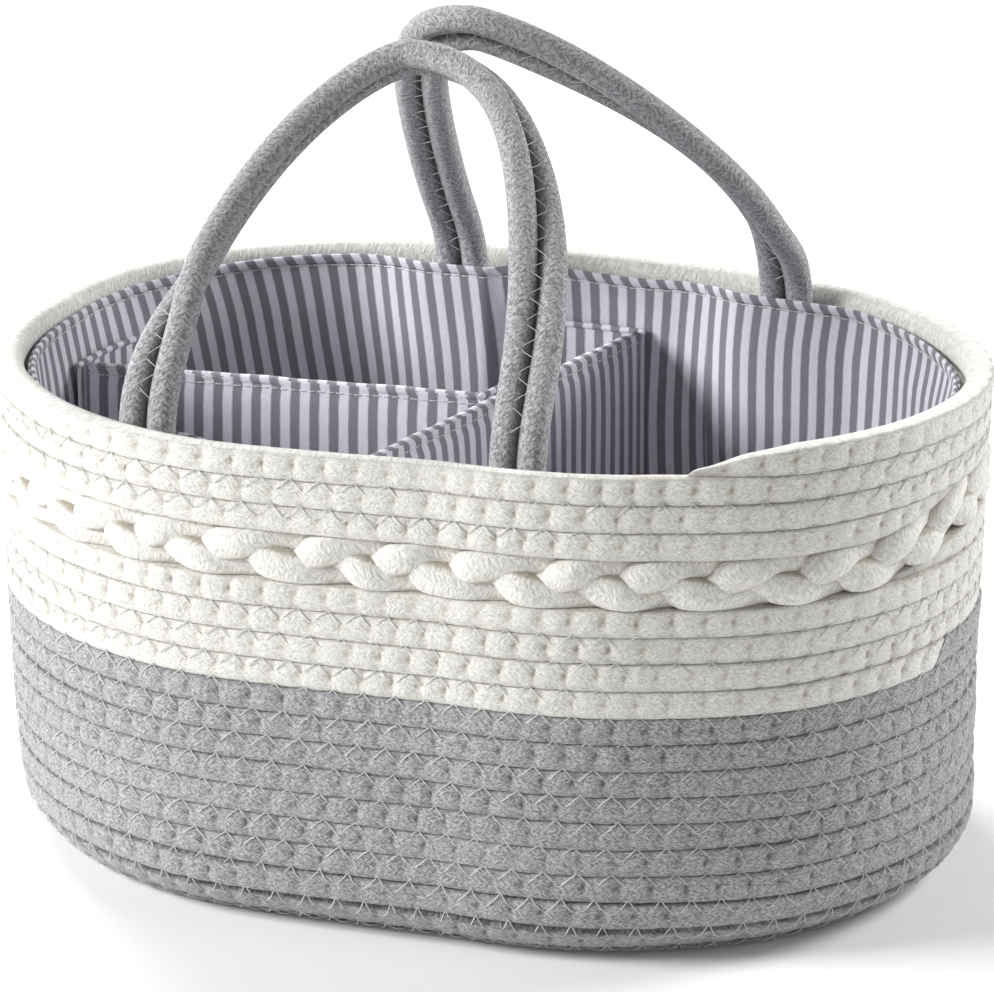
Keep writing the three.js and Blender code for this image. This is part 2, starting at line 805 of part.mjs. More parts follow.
// A strip of the liner's inner face between two places, set in by a depth
function wallPatch(startPlace, endPlace, depth, thickness, bottom, top) {
  const places = [startPlace];
  for (let index = Math.ceil(startPlace); index < endPlace; index += 1) {
    if (index > startPlace) {
      places.push(index);
    }
  }
  places.push(endPlace);
  const outer = linerInnerRadius - depth;
  const inner = outer - thickness;
  const rings = places.map((place) => [[outer, bottom], [outer, top], [inner, top], [inner, bottom]].map(
    ([radius, height]) => {
      const point = ovalPoint(place, radius);
      point.z = height;
      return point;
    }));
  return loftRings(rings, false);
}

// Place on the liner a measured length further round, clockwise seen from above
function placeAfter(place, length) {
  let travelled = 0;
  let here = place;
  const stride = Math.sign(length) / placeSteps;
  while (travelled < Math.abs(length)) {
    const next = here + stride;
    travelled += ovalPoint(next, linerInnerRadius).distanceTo(ovalPoint(here, linerInnerRadius));
    here = next;
  }
  return here;
}

function addWallFlap(name, place, direction) {
  const flapEnds = [place, placeAfter(place, direction * flapLength)];
  const stripStart = placeAfter(place, direction * stripSetBack);
  const stripEnds = [stripStart, placeAfter(stripStart, direction * stripWidth)];
  const addPatch = (kind, ends, depth, thickness, bottom, look) => {
    const top = look === 'touchTape' ? stripTop : dividerTop;
    const patch = wallPatch(Math.min(...ends), Math.max(...ends), depth, thickness, bottom, top);
    addMesh(part, `${name}_${kind}`, patch, look);
  };
  addPatch('loop_tape', stripEnds, seat, stripThickness, stripBottom, 'touchTape');
  addPatch('hook_tape', stripEnds, hookDepth, stripThickness, stripBottom, 'touchTape');
  addPatch('flap', flapEnds, tapeStack, flapThickness, flapBottom, 'stripedCotton');
}

// A flat patch on the left face of a standing panel, set out by a depth
function addPanelPatch(frame, name, low, length, depth, thickness, look) {
  const taped = look === 'touchTape';
  const bottom = taped ? stripBottom : flapBottom;
  const top = taped ? stripTop : dividerTop;
  const slab = new THREE.BoxGeometry(length, thickness, top - bottom);
  slab.translate(low + length / 2, panelHalf + depth + thickness / 2, (bottom + top) / 2);
  addMesh(frame, name, slab, look);
}

// The half length at which both end corners of the cross divider stand clear of the liner's flaps,
// also where an end comes into the liner's curve
function crossHalfLength(crossTurn) {
  const sideFace = linerInnerRadius - flapStack - seat;
  const halfFor = (reachY) => (reachY - panelHalf * Math.sin(crossTurn)) / Math.cos(crossTurn);
  const corners = [];
  for (const side of [-1, 1]) {
    for (const corner of [-1, 1]) {
      corners.push({ side, corner });
    }
  }
  let half = halfFor(sideFace);
  for (let round = 0; round < fittingRounds; round += 1) {
    const reaches = corners.map(({ side, corner }) => {
      const x = crossDividerX + side * half * Math.sin(crossTurn) + corner * panelHalf;
      return Math.abs(ovalPoint(placeAtX(side, x, sideFace), sideFace).y);
    });
    half = halfFor(Math.min(...reaches));
  }
  return half;
}

// The cross divider runs from front to back, and the long one from it to the left-hand end.
// Each stands at a small turn to the basket's axes.
function buildDividers() {
  const crossFrame = new THREE.Group();
  crossFrame.position.set(crossDividerX, 0, 0);
  crossFrame.rotation.z = radians(90 + crossDividerTurn);
  part.add(crossFrame);
  const crossTurn = radians(-crossDividerTurn);
  const crossHalf = crossHalfLength(crossTurn);
  buildPanel(crossFrame, 'cross_divider', -crossHalf, crossHalf, dividerCornerRadius);
  const endX = crossHalf * Math.sin(crossTurn) + panelHalf;
  addWallFlap('cross_divider_front', placeAtX(-1, crossDividerX - endX, linerInnerRadius), -1);
  addWallFlap('cross_divider_rear', placeAtX(1, crossDividerX + endX, linerInnerRadius), -1);

  const longFrame = new THREE.Group();
  longFrame.position.set(0, longDividerY, 0);
  longFrame.rotation.z = radians(longDividerTurn);
  part.add(longFrame);
  const longTurn = radians(longDividerTurn);
  const meet = crossTurn + longTurn;
  const crossLine = crossDividerX * Math.cos(crossTurn) + longDividerY * Math.sin(crossTurn);
  const toCross = crossLine / Math.cos(meet);
  const longHigh = toCross - (panelHalf + flapStack + seat) / Math.cos(meet) - panelHalf * Math.tan(meet);
  const endFace = endCentre + linerInnerRadius * Math.cos(radians(stepAngle / 2)) - flapStack - seat;
  const longLow = -(endFace - panelHalf * Math.sin(longTurn)) / Math.cos(longTurn);
  buildPanel(longFrame, 'long_divider', longLow, longHigh, squareCornerRadius + coverMargin);
  const endMiddle = stationsPerTurn - stepsPerEnd / 2 - 1;
  const longLeftY = longDividerY + longLow * Math.sin(longTurn);
  addWallFlap('long_divider_left', placeAfter(endMiddle, longLeftY - panelHalf), 1);

  const meetX = toCross * Math.cos(longTurn) - crossDividerX;
  const meetY = longDividerY + toCross * Math.sin(longTurn);
  const meetPlace = meetX * Math.sin(crossTurn) + meetY * Math.cos(crossTurn);
  const flapLow = meetPlace - (panelHalf + flapStack) * Math.tan(meet) - panelHalf;
  const stripLow = flapLow + stripSetBack;
  const name = 'long_divider_right';
  addPanelPatch(crossFrame, `${name}_flap`, flapLow, flapLength, tapeStack, flapThickness, 'stripedCotton');
  for (const [kind, depth] of [['hook_tape', hookDepth], ['loop_tape', seat]]) {
    addPanelPatch(crossFrame, `${name}_${kind}`, stripLow, stripWidth, depth, stripThickness, 'touchTape');
  }
}

buildCoils();
buildBraid();
buildLiner();
buildHandles();
buildDividers();

export default part;
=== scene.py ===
# Diaper caddy: coiled cotton rope, plaited band, striped liner, paired rope handles and padded dividers.
# Lengths are millimetres until a mesh is made; the floor is z = 0 and the front is -Y.

import json
import math

import bpy
import numpy as np
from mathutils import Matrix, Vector


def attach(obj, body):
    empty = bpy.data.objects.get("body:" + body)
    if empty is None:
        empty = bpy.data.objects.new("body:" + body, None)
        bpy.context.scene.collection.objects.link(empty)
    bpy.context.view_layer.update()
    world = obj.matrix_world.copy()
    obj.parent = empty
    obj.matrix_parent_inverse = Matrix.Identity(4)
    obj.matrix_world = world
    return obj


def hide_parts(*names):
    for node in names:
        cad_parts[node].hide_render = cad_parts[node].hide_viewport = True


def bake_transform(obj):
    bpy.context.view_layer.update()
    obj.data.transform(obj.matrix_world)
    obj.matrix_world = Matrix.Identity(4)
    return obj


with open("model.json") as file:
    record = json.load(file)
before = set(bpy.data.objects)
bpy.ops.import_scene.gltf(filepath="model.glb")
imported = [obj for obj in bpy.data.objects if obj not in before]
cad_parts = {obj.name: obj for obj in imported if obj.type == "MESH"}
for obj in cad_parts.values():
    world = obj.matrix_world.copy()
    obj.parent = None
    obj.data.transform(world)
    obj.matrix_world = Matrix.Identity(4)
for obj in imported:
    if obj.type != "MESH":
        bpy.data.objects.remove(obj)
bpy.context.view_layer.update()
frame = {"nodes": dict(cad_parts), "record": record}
MM = 0.001

# Sizes of the basket, as in the frame
HALF_LENGTH, HALF_WIDTH = 190.0, 142.0
ROW_PITCH, ROPE_HALF, ROW_HALF = 10.2, 4.85, 5.24
WALL_RADIUS = HALF_WIDTH - ROPE_HALF
END_CENTRE = HALF_LENGTH - HALF_WIDTH
CORNER_RADIUS = 19.0
FLAT_RADIUS = WALL_RADIUS - CORNER_RADIUS
CORNER_LENGTH = CORNER_RADIUS * math.pi / 2
BASE_HEIGHT = ROPE_HALF * 0.8
BASE_END = FLAT_RADIUS / ROW_PITCH * 360
COLOUR_ANGLE = 22 * 360 + 10
SEAM_ANGLE = 26 * 360 + 30
RIM_END = 29 * 360 + 56
TAPER_ANGLE, TIP_SHARE = 16.0, 0.45
BRAID_HEIGHT, BRAID_PERIOD = 18.8, 92.0
END_GAP, SEAM_GAP, COLOUR_SLANT = 0.12, 0.25, 0.8

# Stitches that sew each row to the next
STITCH_PITCH = 11.5
HOLE_RISE, APEX_RISE, APEX_SHARE = 0.8, 1.5, 0.58
THREAD_RADIUS = 0.2
DASH, DASH_GAP, DASH_RADIUS = 2.9, 0.9, 0.22

# Liner, dividers and flaps
LINER_RADIUS, LINER_THICKNESS, LINER_TOP, LINER_CORNER = 130.58, 1.8, 184.0, 14.0
LINER_INNER = LINER_RADIUS - LINER_THICKNESS
FLOOR_BOTTOM, FLOOR_TOP = 9.03, 10.83
DIVIDER_TOP, PANEL_HALF, FLAP_BOTTOM, FLAP_LENGTH = 165.0, 3.0, 36.0, 46.0
DIVIDER_BOTTOM = FLOOR_TOP + 0.5
PANEL_CORNER, FLAP_CORNERS, FLAP_EDGE_RADIUS = 16.0, (3.0, 9.0), 1.35
TAPE_STACK, FLAP_THICKNESS = 2.7, 1.6
FLAP_STACK, FLAP_DEPTH = TAPE_STACK + FLAP_THICKNESS, TAPE_STACK + FLAP_THICKNESS / 2
CROSS_X, CROSS_TURN = -4.5, math.radians(9.2)
LONG_Y, LONG_TURN = 18.9, math.radians(7.1)
STRIPE_PERIOD, STRIPE_BLUR = 8.0, 0.04
# The liner's draw-in over rope ends: half its full width, its ramps, the middle it leaves free, its run-up
POCKET_HALF, POCKET_RUN, POCKET_FREE, POCKET_FOOT = 12.0, 45.0, 42.0, 48.0

# Handles
HANDLE_RADIUS, PAIR_HALF, KNUCKLE = 5.45, 5.5, 5.75
TAIL_BOTTOM = 122.5
SEWING_PITCH, SEWING_RADIUS = 11.0, 0.13
# Painted shade in the groove between a handle's two ropes: how near the partner it begins, and over what
# distance it comes in fully.
CREASE_EDGE, CREASE_DEPTH = 9.4, 3.4
HANDLES = {
    "front_handle": dict(side=-1, shift=-11.8, span=71.8, rise=157.5, lean=47, sway=-17.5, power=1,
                         left=1.4, right=2.54, crown=2.03, twist=(-70, 0, 0.12, 0.64),
                         hinge=(-116.86, 194.01)),
    "rear_handle": dict(side=1, shift=13.8, span=71.4, rise=150.1, lean=42.1, sway=-24.3, power=2.73,
                        left=2.11, right=1.4, crown=1.78, twist=(-38, 0.6, 0.85, 0.92),
                        hinge=(116.13, 199.13)),
}

# How far the hand-sewn rim stands out from the even oval, every 15 degrees from +X to +Y
RIM_DRIFT = [8, 4.7, -0.5, -5, -5, -2.1, -0.9, -2.1, -4.1, -2, 1.4, 1.3,
             -1.4, 1, 4.3, 5.9, 6.1, 5.8, 1.5, -4.4, -5, -3.1, 6.2, 8]


def smooth(t):
    t = np.clip(t, 0, 1)
    return t * t * (3 - 2 * t)


def oval_reach(turn, radius):
    """Distance from the middle to the oval of a radius, in the direction of a turn."""
    cos, sin = np.abs(np.cos(turn)), np.maximum(np.abs(np.sin(turn)), 1e-9)
    flat = radius / sin
    ends = END_CENTRE * cos
    round_end = ends + np.sqrt(np.maximum(ends ** 2 - END_CENTRE ** 2 + radius ** 2, 0))
    return np.where(flat * cos <= END_CENTRE, flat, round_end)


def hand_made(points):
    """Moves points as the sewn basket drifts from the even oval: most at the rim, least at the base."""
    p = np.array(points, float)
    turn = np.arctan2(p[..., 1], p[..., 0])
    reach = np.hypot(p[..., 0], p[..., 1])
    share = np.minimum(reach / oval_reach(turn, HALF_WIDTH), 1.1) ** 2
    steps = np.radians(np.arange(len(RIM_DRIFT) + 1) * 15)
    drift = np.interp(turn % (2 * np.pi), steps, RIM_DRIFT + RIM_DRIFT[:1])
    z = p[..., 2]
    drift = drift * np.interp(z, [0, 90, 190], [0.5, 0.55, 1])
    low_left = np.interp(z, [0, 19, 50, 110], [-5, -5, -2, 0]) * np.clip(-np.cos(turn), 0, 1) ** 2
    move = (drift + low_left) * share * (1 - smooth((z - 190) / 70))
    p[..., 0] += move * np.cos(turn)
    p[..., 1] += move * np.sin(turn)
    return p


# Meshes

def placed(name, data):
    """A new object in the scene."""
    made = bpy.data.objects.new(name, data)
    bpy.context.scene.collection.objects.link(made)
    return made


def add_piece(name, form, look, body=None, nodes=(), painted_shades=None, smoothed=True):
    """A piece that stands for CAD nodes and rides a body.

    A form is points in mm, face arrays and a UV pair for each loop; a look is a material and a slot, and
    its slot is not used.
    """
    points, faces, uv = form
    material, slot = look
    mesh = bpy.data.meshes.new(name)
    loops = np.concatenate([f.ravel() for f in faces]).astype(np.int32)
    sizes = np.concatenate([np.full(len(f), f.shape[1]) for f in faces])
    starts = np.concatenate([[0], np.cumsum(sizes)[:-1]]).astype(np.int32)
    mesh.vertices.add(len(points))
    mesh.vertices.foreach_set("co", (np.asarray(points, float) * MM).astype(np.float32).ravel())
    mesh.loops.add(len(loops))
    mesh.loops.foreach_set("vertex_index", loops)
    mesh.polygons.add(len(sizes))
    mesh.polygons.foreach_set("loop_start", starts)
    mesh.polygons.foreach_set("use_smooth", np.full(len(sizes), smoothed))
    if uv is not None:
        layer = mesh.uv_layers.new(name="UVMap")
        layer.data.foreach_set("uv", np.asarray(uv, np.float32).ravel())
    # Painted shade, a float on each point, that the rope looks mix in.
    if painted_shades is not None:
        attribute = mesh.attributes.new("mark", "FLOAT", "POINT")
        attribute.data.foreach_set("value", np.asarray(painted_shades, np.float32).ravel())
    mesh.update(calc_edges=True)
    mesh.validate()
    mesh.materials.append(material)
    piece = placed(name, mesh)
    if nodes:
        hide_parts(*nodes)
    if body:
        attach(piece, body)
    return piece


def stacked(*parts):
    """Arrays or numbers side by side along a last axis."""
    return np.stack(np.broadcast_arrays(*parts), -1)


def grid_faces(rows, columns, closed_rows, closed_columns, lengths, widths):
    """Quads and loop UVs of a grid of points; lengths and widths have one more entry where closed."""
    i, j = np.meshgrid(np.arange(rows - 1 + closed_rows), np.arange(columns - 1 + closed_columns),
                       indexing="ij")
    i2, j2 = (i + 1) % rows, (j + 1) % columns
    quads = stacked(i * columns + j, i2 * columns + j, i2 * columns + j2, i * columns + j2)
    u, v = np.asarray(lengths, float), np.asarray(widths, float)
    if u.ndim == 1:
        u, v = np.broadcast_arrays(u[:, None], v)
    uv = np.stack([stacked(u[a, b], v[a, b])
                   for a, b in ((i, j), (i + 1, j), (i + 1, j + 1), (i, j + 1))], -2)
    return quads.reshape(-1, 4), uv.reshape(-1, 4, 2)


def closed_form(points, faces, uvs):
    """A form from a closed skin, with its faces turned outwards."""
    volume = 0.0
    for f in faces:
        for k in range(1, f.shape[1] - 1):
            volume += (points[f[:, 0]] * np.cross(points[f[:, k]], points[f[:, k + 1]])).sum()
    if volume < 0:
        faces, uvs = [f[:, ::-1] for f in faces], [w[:, ::-1] for w in uvs]
    return points, faces, np.concatenate([w.reshape(-1, 2) for w in uvs])


def tube_mesh(rings, lengths, girth, closed=False):
    """Points, faces and UVs of a tube through rings of points, with its ends closed by fans."""
    rings = np.asarray(rings, float)
    n, m, _ = rings.shape
    widths = np.linspace(0, girth, m + 1)
    quads, uv = grid_faces(n, m, closed, True, lengths, widths)
    points, faces, uvs = rings.reshape(-1, 3), [quads], [uv]
    if not closed:
        points = np.vstack([points, rings[0].mean(0), rings[-1].mean(0)])
        j = np.arange(m)
        faces += [stacked(n * m, j, (j + 1) % m),
                  stacked(n * m + 1, (n - 1) * m + (j + 1) % m, (n - 1) * m + j)]
        for end in (lengths[0], lengths[-1]):
            uvs.append(stacked(end, stacked(0, widths[:-1], widths[1:])))
    return closed_form(points, faces, uvs)


def joined(parts):
    """One mesh from several (points, faces, uv) parts."""
    points, faces, uvs, base = [], [], [], 0
    for p, f, w in parts:
        points.append(p)
        faces += [g + base for g in f]
        uvs.append(w)
        base += len(p)
    return np.vstack(points), faces, np.vstack(uvs)


def travelled(points):
    return np.concatenate([[0], np.cumsum(np.linalg.norm(np.diff(points, axis=0), axis=1))])


def at_distances(at, lengths, points):
    """Points between the stations of a path, at distances travelled along it."""
    return np.stack([np.interp(at, lengths, points[:, c]) for c in range(3)], -1)


def unit(v):
    return v / np.maximum(np.linalg.norm(v, axis=-1, keepdims=True), 1e-12)


def carried_frames(path, start):
    """Two directions across a path at each of its points, carried along it without twist."""
    tangent = unit(np.gradient(path, axis=0))
    side = np.empty_like(path)
    side[0] = unit(start - tangent[0] * (start @ tangent[0]))
    for i in range(1, len(path)):
        s = side[i - 1] - tangent[i] * (side[i - 1] @ tangent[i])
        side[i] = s / np.linalg.norm(s)
    return side, np.cross(tangent, side)


def round_tube(path, radius, sides, start=(0.0, 0.0, 1.0)):
    """A tube along a path, with domed ends."""
    path = np.asarray(path, float)
    side, other = carried_frames(path, np.asarray(start, float))
    around = np.arange(sides) / sides * 2 * np.pi
    circle = side[:, None] * np.cos(around)[:, None] + other[:, None] * np.sin(around)[:, None]
    dome = np.radians([60, 30])
    ahead = unit(np.gradient(path, axis=0))
    first = [path[0] - ahead[0] * radius * np.sin(a) + circle[0] * radius * np.cos(a) for a in dome]
    last = [path[-1] + ahead[-1] * radius * np.sin(a) + circle[-1] * radius * np.cos(a) for a in dome[::-1]]
    rings = np.concatenate([first, path[:, None] + circle * radius, last])
    lengths = travelled(path)
    lengths = np.concatenate([-radius * np.sin(dome), lengths, lengths[-1] + radius * np.sin(dome[::-1])])
    return tube_mesh(rings, lengths, 2 * np.pi * radius)


def dash_row(path, normal):
    """A row of straight stitches along a path: short threads that dip into the cloth at both ends."""
    s = travelled(path)
    pitch = DASH + DASH_GAP
    lift = DASH_RADIUS * np.array([-0.9, 0.35, 0.7, 0.35, -0.9])
    parts = []
    for k in range(int((s[-1] - DASH) / pitch) + 1):
        at = k * pitch + DASH * np.array([0.0, 0.18, 0.5, 0.82, 1.0])
        line, up = at_distances(at, s, path), at_distances(at, s, normal)
        parts.append(round_tube(line + up * lift[:, None], DASH_RADIUS, 5, start=up[0]))
    return joined(parts)


# Materials

class Look:
    """A node material with a few helpers that keep its tree short."""

    def __init__(self, name, colour, roughness, sheen=0.0):
        self.material = bpy.data.materials.new(name)
        self.material.use_nodes = True
        self.tree = self.material.node_tree
        self.shader = self.tree.nodes["Principled BSDF"]
        for key, value in (("Roughness", roughness), ("Sheen Weight", sheen), ("Sheen Roughness", 0.6),
                           ("Specular IOR Level", 0.25)):
            self.shader.inputs[key].default_value = value
        self.material.diffuse_color = (*colour, 1)

    def node(self, kind, inputs=(), output=0, **settings):
        node = self.tree.nodes.new(kind)
        for key, value in settings.items():
            setattr(node, key, value)
        for key, value in dict(inputs).items():
            socket = node.inputs[key]
            if isinstance(value, bpy.types.NodeSocket):
                self.tree.links.new(value, socket)
            else:
                socket.default_value = value
        return node.outputs[output]

    def math(self, operation, *values):
        return self.node("ShaderNodeMath", dict(enumerate(values)), operation=operation)

    def uv(self):
        return self.node("ShaderNodeUVMap", uv_map="UVMap")

    def along(self, vector, x, y):
        """The UV place measured along a direction, in turns of 1 / length."""
        return self.node("ShaderNodeVectorMath", {0: vector, 1: (x, y, 0)}, output=1,
                         operation="DOT_PRODUCT")

    def wave(self, vector, x, y):
        """A sine from 0 to 1 across the UV plane with x and y turns per mm."""
        phase = self.math("MULTIPLY", self.along(vector, x, y), 2 * math.pi)
        return self.math("MULTIPLY_ADD", self.math("SINE", phase), 0.5, 0.5)

    def noise(self, scale, detail=3.0, vector=None, roughness=0.55):
        if vector is None:
            vector = self.node("ShaderNodeTexCoord", output=3)
        return self.node("ShaderNodeTexNoise", {"Vector": vector, "Scale": scale, "Detail": detail,
                                                "Roughness": roughness})

    def scaled(self, vector, x, y, z=1.0):
        return self.node("ShaderNodeVectorMath", {0: vector, 1: (x, y, z)}, operation="MULTIPLY")

    def ramp(self, value, low, high, to_low=0.0, to_high=1.0):
        return self.node("ShaderNodeMapRange", {"Value": value, "From Min": low, "From Max": high,
                                                "To Min": to_low, "To Max": to_high})

    def mix(self, share, a, b):
        a, b = (c if isinstance(c, bpy.types.NodeSocket) else (*c, 1) for c in (a, b))
        return self.node("ShaderNodeMix", {0: share, 6: a, 7: b}, 2, data_type="RGBA")

    # The painted shade that a mesh carries as a point attribute.
    def mark(self):
        return self.node("ShaderNodeAttribute", output=2, attribute_name="mark")

    def finish(self, colour, height, distance):
        bump = self.node("ShaderNodeBump", {"Height": height, "Distance": distance, "Strength": 1.0})
        self.tree.links.new(bump, self.shader.inputs["Normal"])
        self.tree.links.new(colour, self.shader.inputs["Base Color"])
        return self.material


def linear(r, g, b):
    """A screen colour as the shader takes it."""
    return tuple(c / 12.92 if c <= 0.04045 else ((c + 0.055) / 1.055) ** 2.4 for c in (r, g, b))


def rope_look(name, light, dark, hole, heather):
    """Braided cotton sheath: short slanted fibres that meet in Vs along the rope, rough and fuzzy."""
    look = Look(name, light, 0.95, sheen=0.4)
    uv = look.uv()
    side = look.ramp(look.wave(uv, 0.0, 0.19), 0.40, 0.60)
    strokes = []
    for lean in (1, -1):
        place = look.node("ShaderNodeCombineXYZ", {"X": look.along(uv, -0.80 * lean, 0.62),
                                                   "Y": look.along(uv, 0.22, 0.27 * lean)})
        strokes.append(look.noise(1.0, 3.0, place, 0.62))
    weave = look.math("ADD", look.math("MULTIPLY", strokes[0], side),
                      look.math("MULTIPLY", strokes[1], look.math("SUBTRACT", 1.0, side)))
    fibre = look.noise(1.2, 3.0, uv, 0.75)
    blotch = look.noise(55.0, 3.0)
    tone = look.math("ADD", look.math("MULTIPLY", weave, 0.7), look.math("MULTIPLY", fibre, 0.3))
    spread = 0.07 if heather else 0.09
    colour = look.mix(look.ramp(tone, 0.5 - spread, 0.5 + spread), dark, light)
    if heather:
        fleck = look.noise(0.8, 4.0, look.scaled(uv, 0.7, 1.3), 0.8)
        pale = tuple(min(1.0, c * 1.35) for c in light)
        colour = look.mix(look.ramp(fleck, 0.54, 0.70, 0.0, 0.6), colour, pale)
        colour = look.mix(look.ramp(fleck, 0.46, 0.34, 0.0, 0.7), colour, tuple(c * 0.45 for c in dark))
    colour = look.mix(look.ramp(blotch, 0.35, 0.65, 0.0, 0.10), colour, tuple(c * 0.8 for c in light))
    # Painted shade: the hole colour darkens needle holes, stitch creases, row seams and the creases between
    # plait strands and handle ropes.
    colour = look.mix(look.math("MULTIPLY", look.mark(), 0.85), colour, hole)
    height = look.math("ADD", look.math("MULTIPLY", weave, 1.0), look.math("MULTIPLY", fibre, 0.4))
    return look.finish(colour, height, 0.0012 if heather else 0.0008)


def stripe_look(name):
    """Woven cotton with stripes across U, and fine warp and weft."""
    look = Look(name, linear(0.8, 0.79, 0.86), 0.9, sheen=0.2)
    uv = look.uv()
    place = look.along(uv, 1 / STRIPE_PERIOD, 0.0)
    wobble = look.noise(0.25, 2.0, uv)
    place = look.math("ADD", place, look.math("MULTIPLY", wobble, 0.06))
    stripe = look.math("PINGPONG", place, 0.5)
    share = look.ramp(stripe, 0.25 - STRIPE_BLUR, 0.25 + STRIPE_BLUR)
    pale, slate = linear(0.97, 0.96, 1.0), linear(0.52, 0.51, 0.55)
    colour = look.mix(share, pale, slate)
    warp, weft = look.wave(uv, 1.6, 0.0), look.wave(uv, 0.0, 1.6)
    thread = look.math("MULTIPLY", warp, weft)
    slub = look.noise(0.9, 4.0, look.scaled(uv, 3.0, 0.35), 0.7)
    colour = look.mix(look.ramp(slub, 0.3, 0.75, 0.22, 0.0), colour, linear(0.58, 0.57, 0.62))
    colour = look.mix(look.math("MULTIPLY", thread, 0.14), colour, linear(0.95, 0.95, 0.98))
    return look.finish(colour, look.math("ADD", thread, slub), 0.00025)


def plain_look(name, colour, roughness, scale, depth):
    look = Look(name, colour, roughness)
    grain = look.noise(scale, 4.0)
    mixed = look.mix(look.ramp(grain, 0.35, 0.65, 0.0, 0.25), colour, tuple(c * 0.82 for c in colour))
    return look.finish(mixed, grain, depth)


# The third colour of each rope is its painted shade, for holes, creases and seams.
WHITE = rope_look("white_cotton_rope", linear(0.98, 0.975, 0.955), linear(0.82, 0.81, 0.78),
                  linear(0.60, 0.55, 0.46), False), "white_rope"
GREY = rope_look("grey_cotton_rope", linear(0.80, 0.80, 0.81), linear(0.49, 0.49, 0.505),
                 linear(0.20, 0.20, 0.21), True), "grey_rope"
SEWING = plain_look("sewing_thread", linear(0.86, 0.86, 0.85), 0.8, 900.0, 0.0001)
WHITE_THREAD = SEWING, "white_rope"
GREY_THREAD = SEWING, "grey_rope"
CLOTH_THREAD = SEWING, "striped_cotton"
STRIPES = stripe_look("striped_cotton"), "striped_cotton"
BOARD = plain_look("stiff_board", linear(0.84, 0.83, 0.80), 0.7, 120.0, 0.0001)
TAPE = plain_look("touch_tape", linear(0.86, 0.86, 0.88), 0.85, 1500.0, 0.0004), "touch_tape"


# The winding. A key counts its round ends and straight sides in turn.

KEYS_PER_TURN = 4

def key_of(angle):
    half = np.floor((angle + 90) / 180)
    return half + (angle + 90) / 180


def place_of(key):
    """Angle at a key, and where the centre of its round end or point lies along X."""
    half = np.floor(key / 2 + 1e-9)
    part = key - 2 * half
    turned = np.clip(part, 0, 1)
    run = np.clip(part - 1, 0, 1) * 2 * END_CENTRE
    side = 1 - 2 * (half % 2)
    return -90 + 180 * (half + turned), side * (END_CENTRE - run)


def profile(distance):
    """Radius, height and tilt of a row at a distance out over the base and up the wall."""
    tilt = np.clip((distance - FLAT_RADIUS) / CORNER_RADIUS, 0, np.pi / 2)
    beyond = np.maximum(distance - FLAT_RADIUS - CORNER_LENGTH, 0)
    radius = np.minimum(distance, FLAT_RADIUS) + CORNER_RADIUS * np.sin(tilt)
    return radius, BASE_HEIGHT + CORNER_RADIUS * (1 - np.cos(tilt)) + beyond, tilt


def outward_of(angle):
    a = np.radians(angle)
    return stacked(np.cos(a), -np.sin(a), 0.0)


def on_oval(key, radius):
    """Points at keys of the winding on an oval, at floor level."""
    angle, centre = place_of(key)
    point = outward_of(angle) * np.asarray(radius)[..., None]
    point[..., 0] += centre
    return point


def keys_between(start, end, step, oval_radius=None):
    """Keys of stations a step apart on the winding, or on an even oval, from one angle to another."""
    low, high = float(key_of(start)), float(key_of(end))
    keys = []
    for k in range(math.floor(low), math.ceil(high)):
        a, b = max(low, k), min(high, k + 1)
        angle = place_of(np.array(0.5 * (a + b)))[0]
        radius = oval_radius or max(profile(ROW_PITCH * angle / 360)[0], 4.0)
        length = 2 * END_CENTRE if k % 2 else math.pi * radius
        count = max(1, math.ceil((b - a) * length / step))
        keys.append(np.linspace(a, b, count, endpoint=False))
    return np.append(np.concatenate(keys), high)


def on_winding(key, along, across, lift=0.0):
    """A point of a row: along the wall's profile and across it, from the row's middle."""
    radius, height, tilt = profile(ROW_PITCH * place_of(key)[0] / 360)
    point = on_oval(key, radius + np.cos(tilt) * along + np.sin(tilt) * across)
    point[..., 2] = height + lift + np.sin(tilt) * along - np.cos(tilt) * across
    return point


def stitch_places(keys, lift):
    """Distance travelled along the winding at each key, and the stitch count there."""
    q = travelled(on_winding(keys, 0 * keys, 0 * keys, lift))
    return q, q / STITCH_PITCH + 0.10 * np.sin(q / 37) + 0.07 * np.sin(q / 11.3 + 1)


def row_face(v):
    """How far the rope's face stands out at a height v from its middle."""
    return ROPE_HALF * (1 - np.minimum(np.abs(v) / ROW_HALF, 1) ** 8) ** (1 / 8)


def pressed(count, below, v):
    """Cushions that the stitches leave in a row, and the painted shade in their creases, needle holes and
    the seams between rows.
    """
    bow = 0.13 * (1 - (v / ROW_HALF) ** 2) - 0.03 * v / ROW_HALF
    place = count - bow
    nearest = np.round(place)
    vary = 0.85 + 0.3 * np.sin(nearest * 12.9898)
    away = (place - nearest) * STITCH_PITCH
    # Needle holes dent the face and get a spot of painted shade.
    hole = vary * np.exp(-(away / 0.75) ** 2 - ((v - HOLE_RISE) / 1.1) ** 2)
    upper = 0.4 + 0.6 * smooth((v + 4.2) / 3.4)
    # Painted shade along the creases at the stitches.
    crease = np.exp(-(away / 0.8) ** 2) * upper
    cushion = (1 - np.abs(2 * (place - np.floor(place)) - 1) ** 2.4) * upper * vary
    apex_away = (below - np.floor(below) - APEX_SHARE) * STITCH_PITCH
    apex = np.exp(-(apex_away / 1.2) ** 2 - ((v + ROW_HALF - APEX_RISE) / 1.2) ** 2)
    lumps = 0.16 * np.sin(count * 15.7 + v * 1.9) * np.sin(v * 1.7 - count * 10.1)
    # Painted shade along the seams between rows.
    seam = smooth((np.abs(v) - 4.8) / 0.3) * (0.8 + 0.2 * np.sin(count * 3.3))
    dent = 0.9 * cushion - 0.75 + lumps - 0.5 * hole - 0.45 * apex
    # The second value is painted shade for the holes, creases and seams, where the rope lies in shade.
    return dent, np.minimum(0.95 * hole + 0.30 * crease * vary + 0.75 * seam, 1)


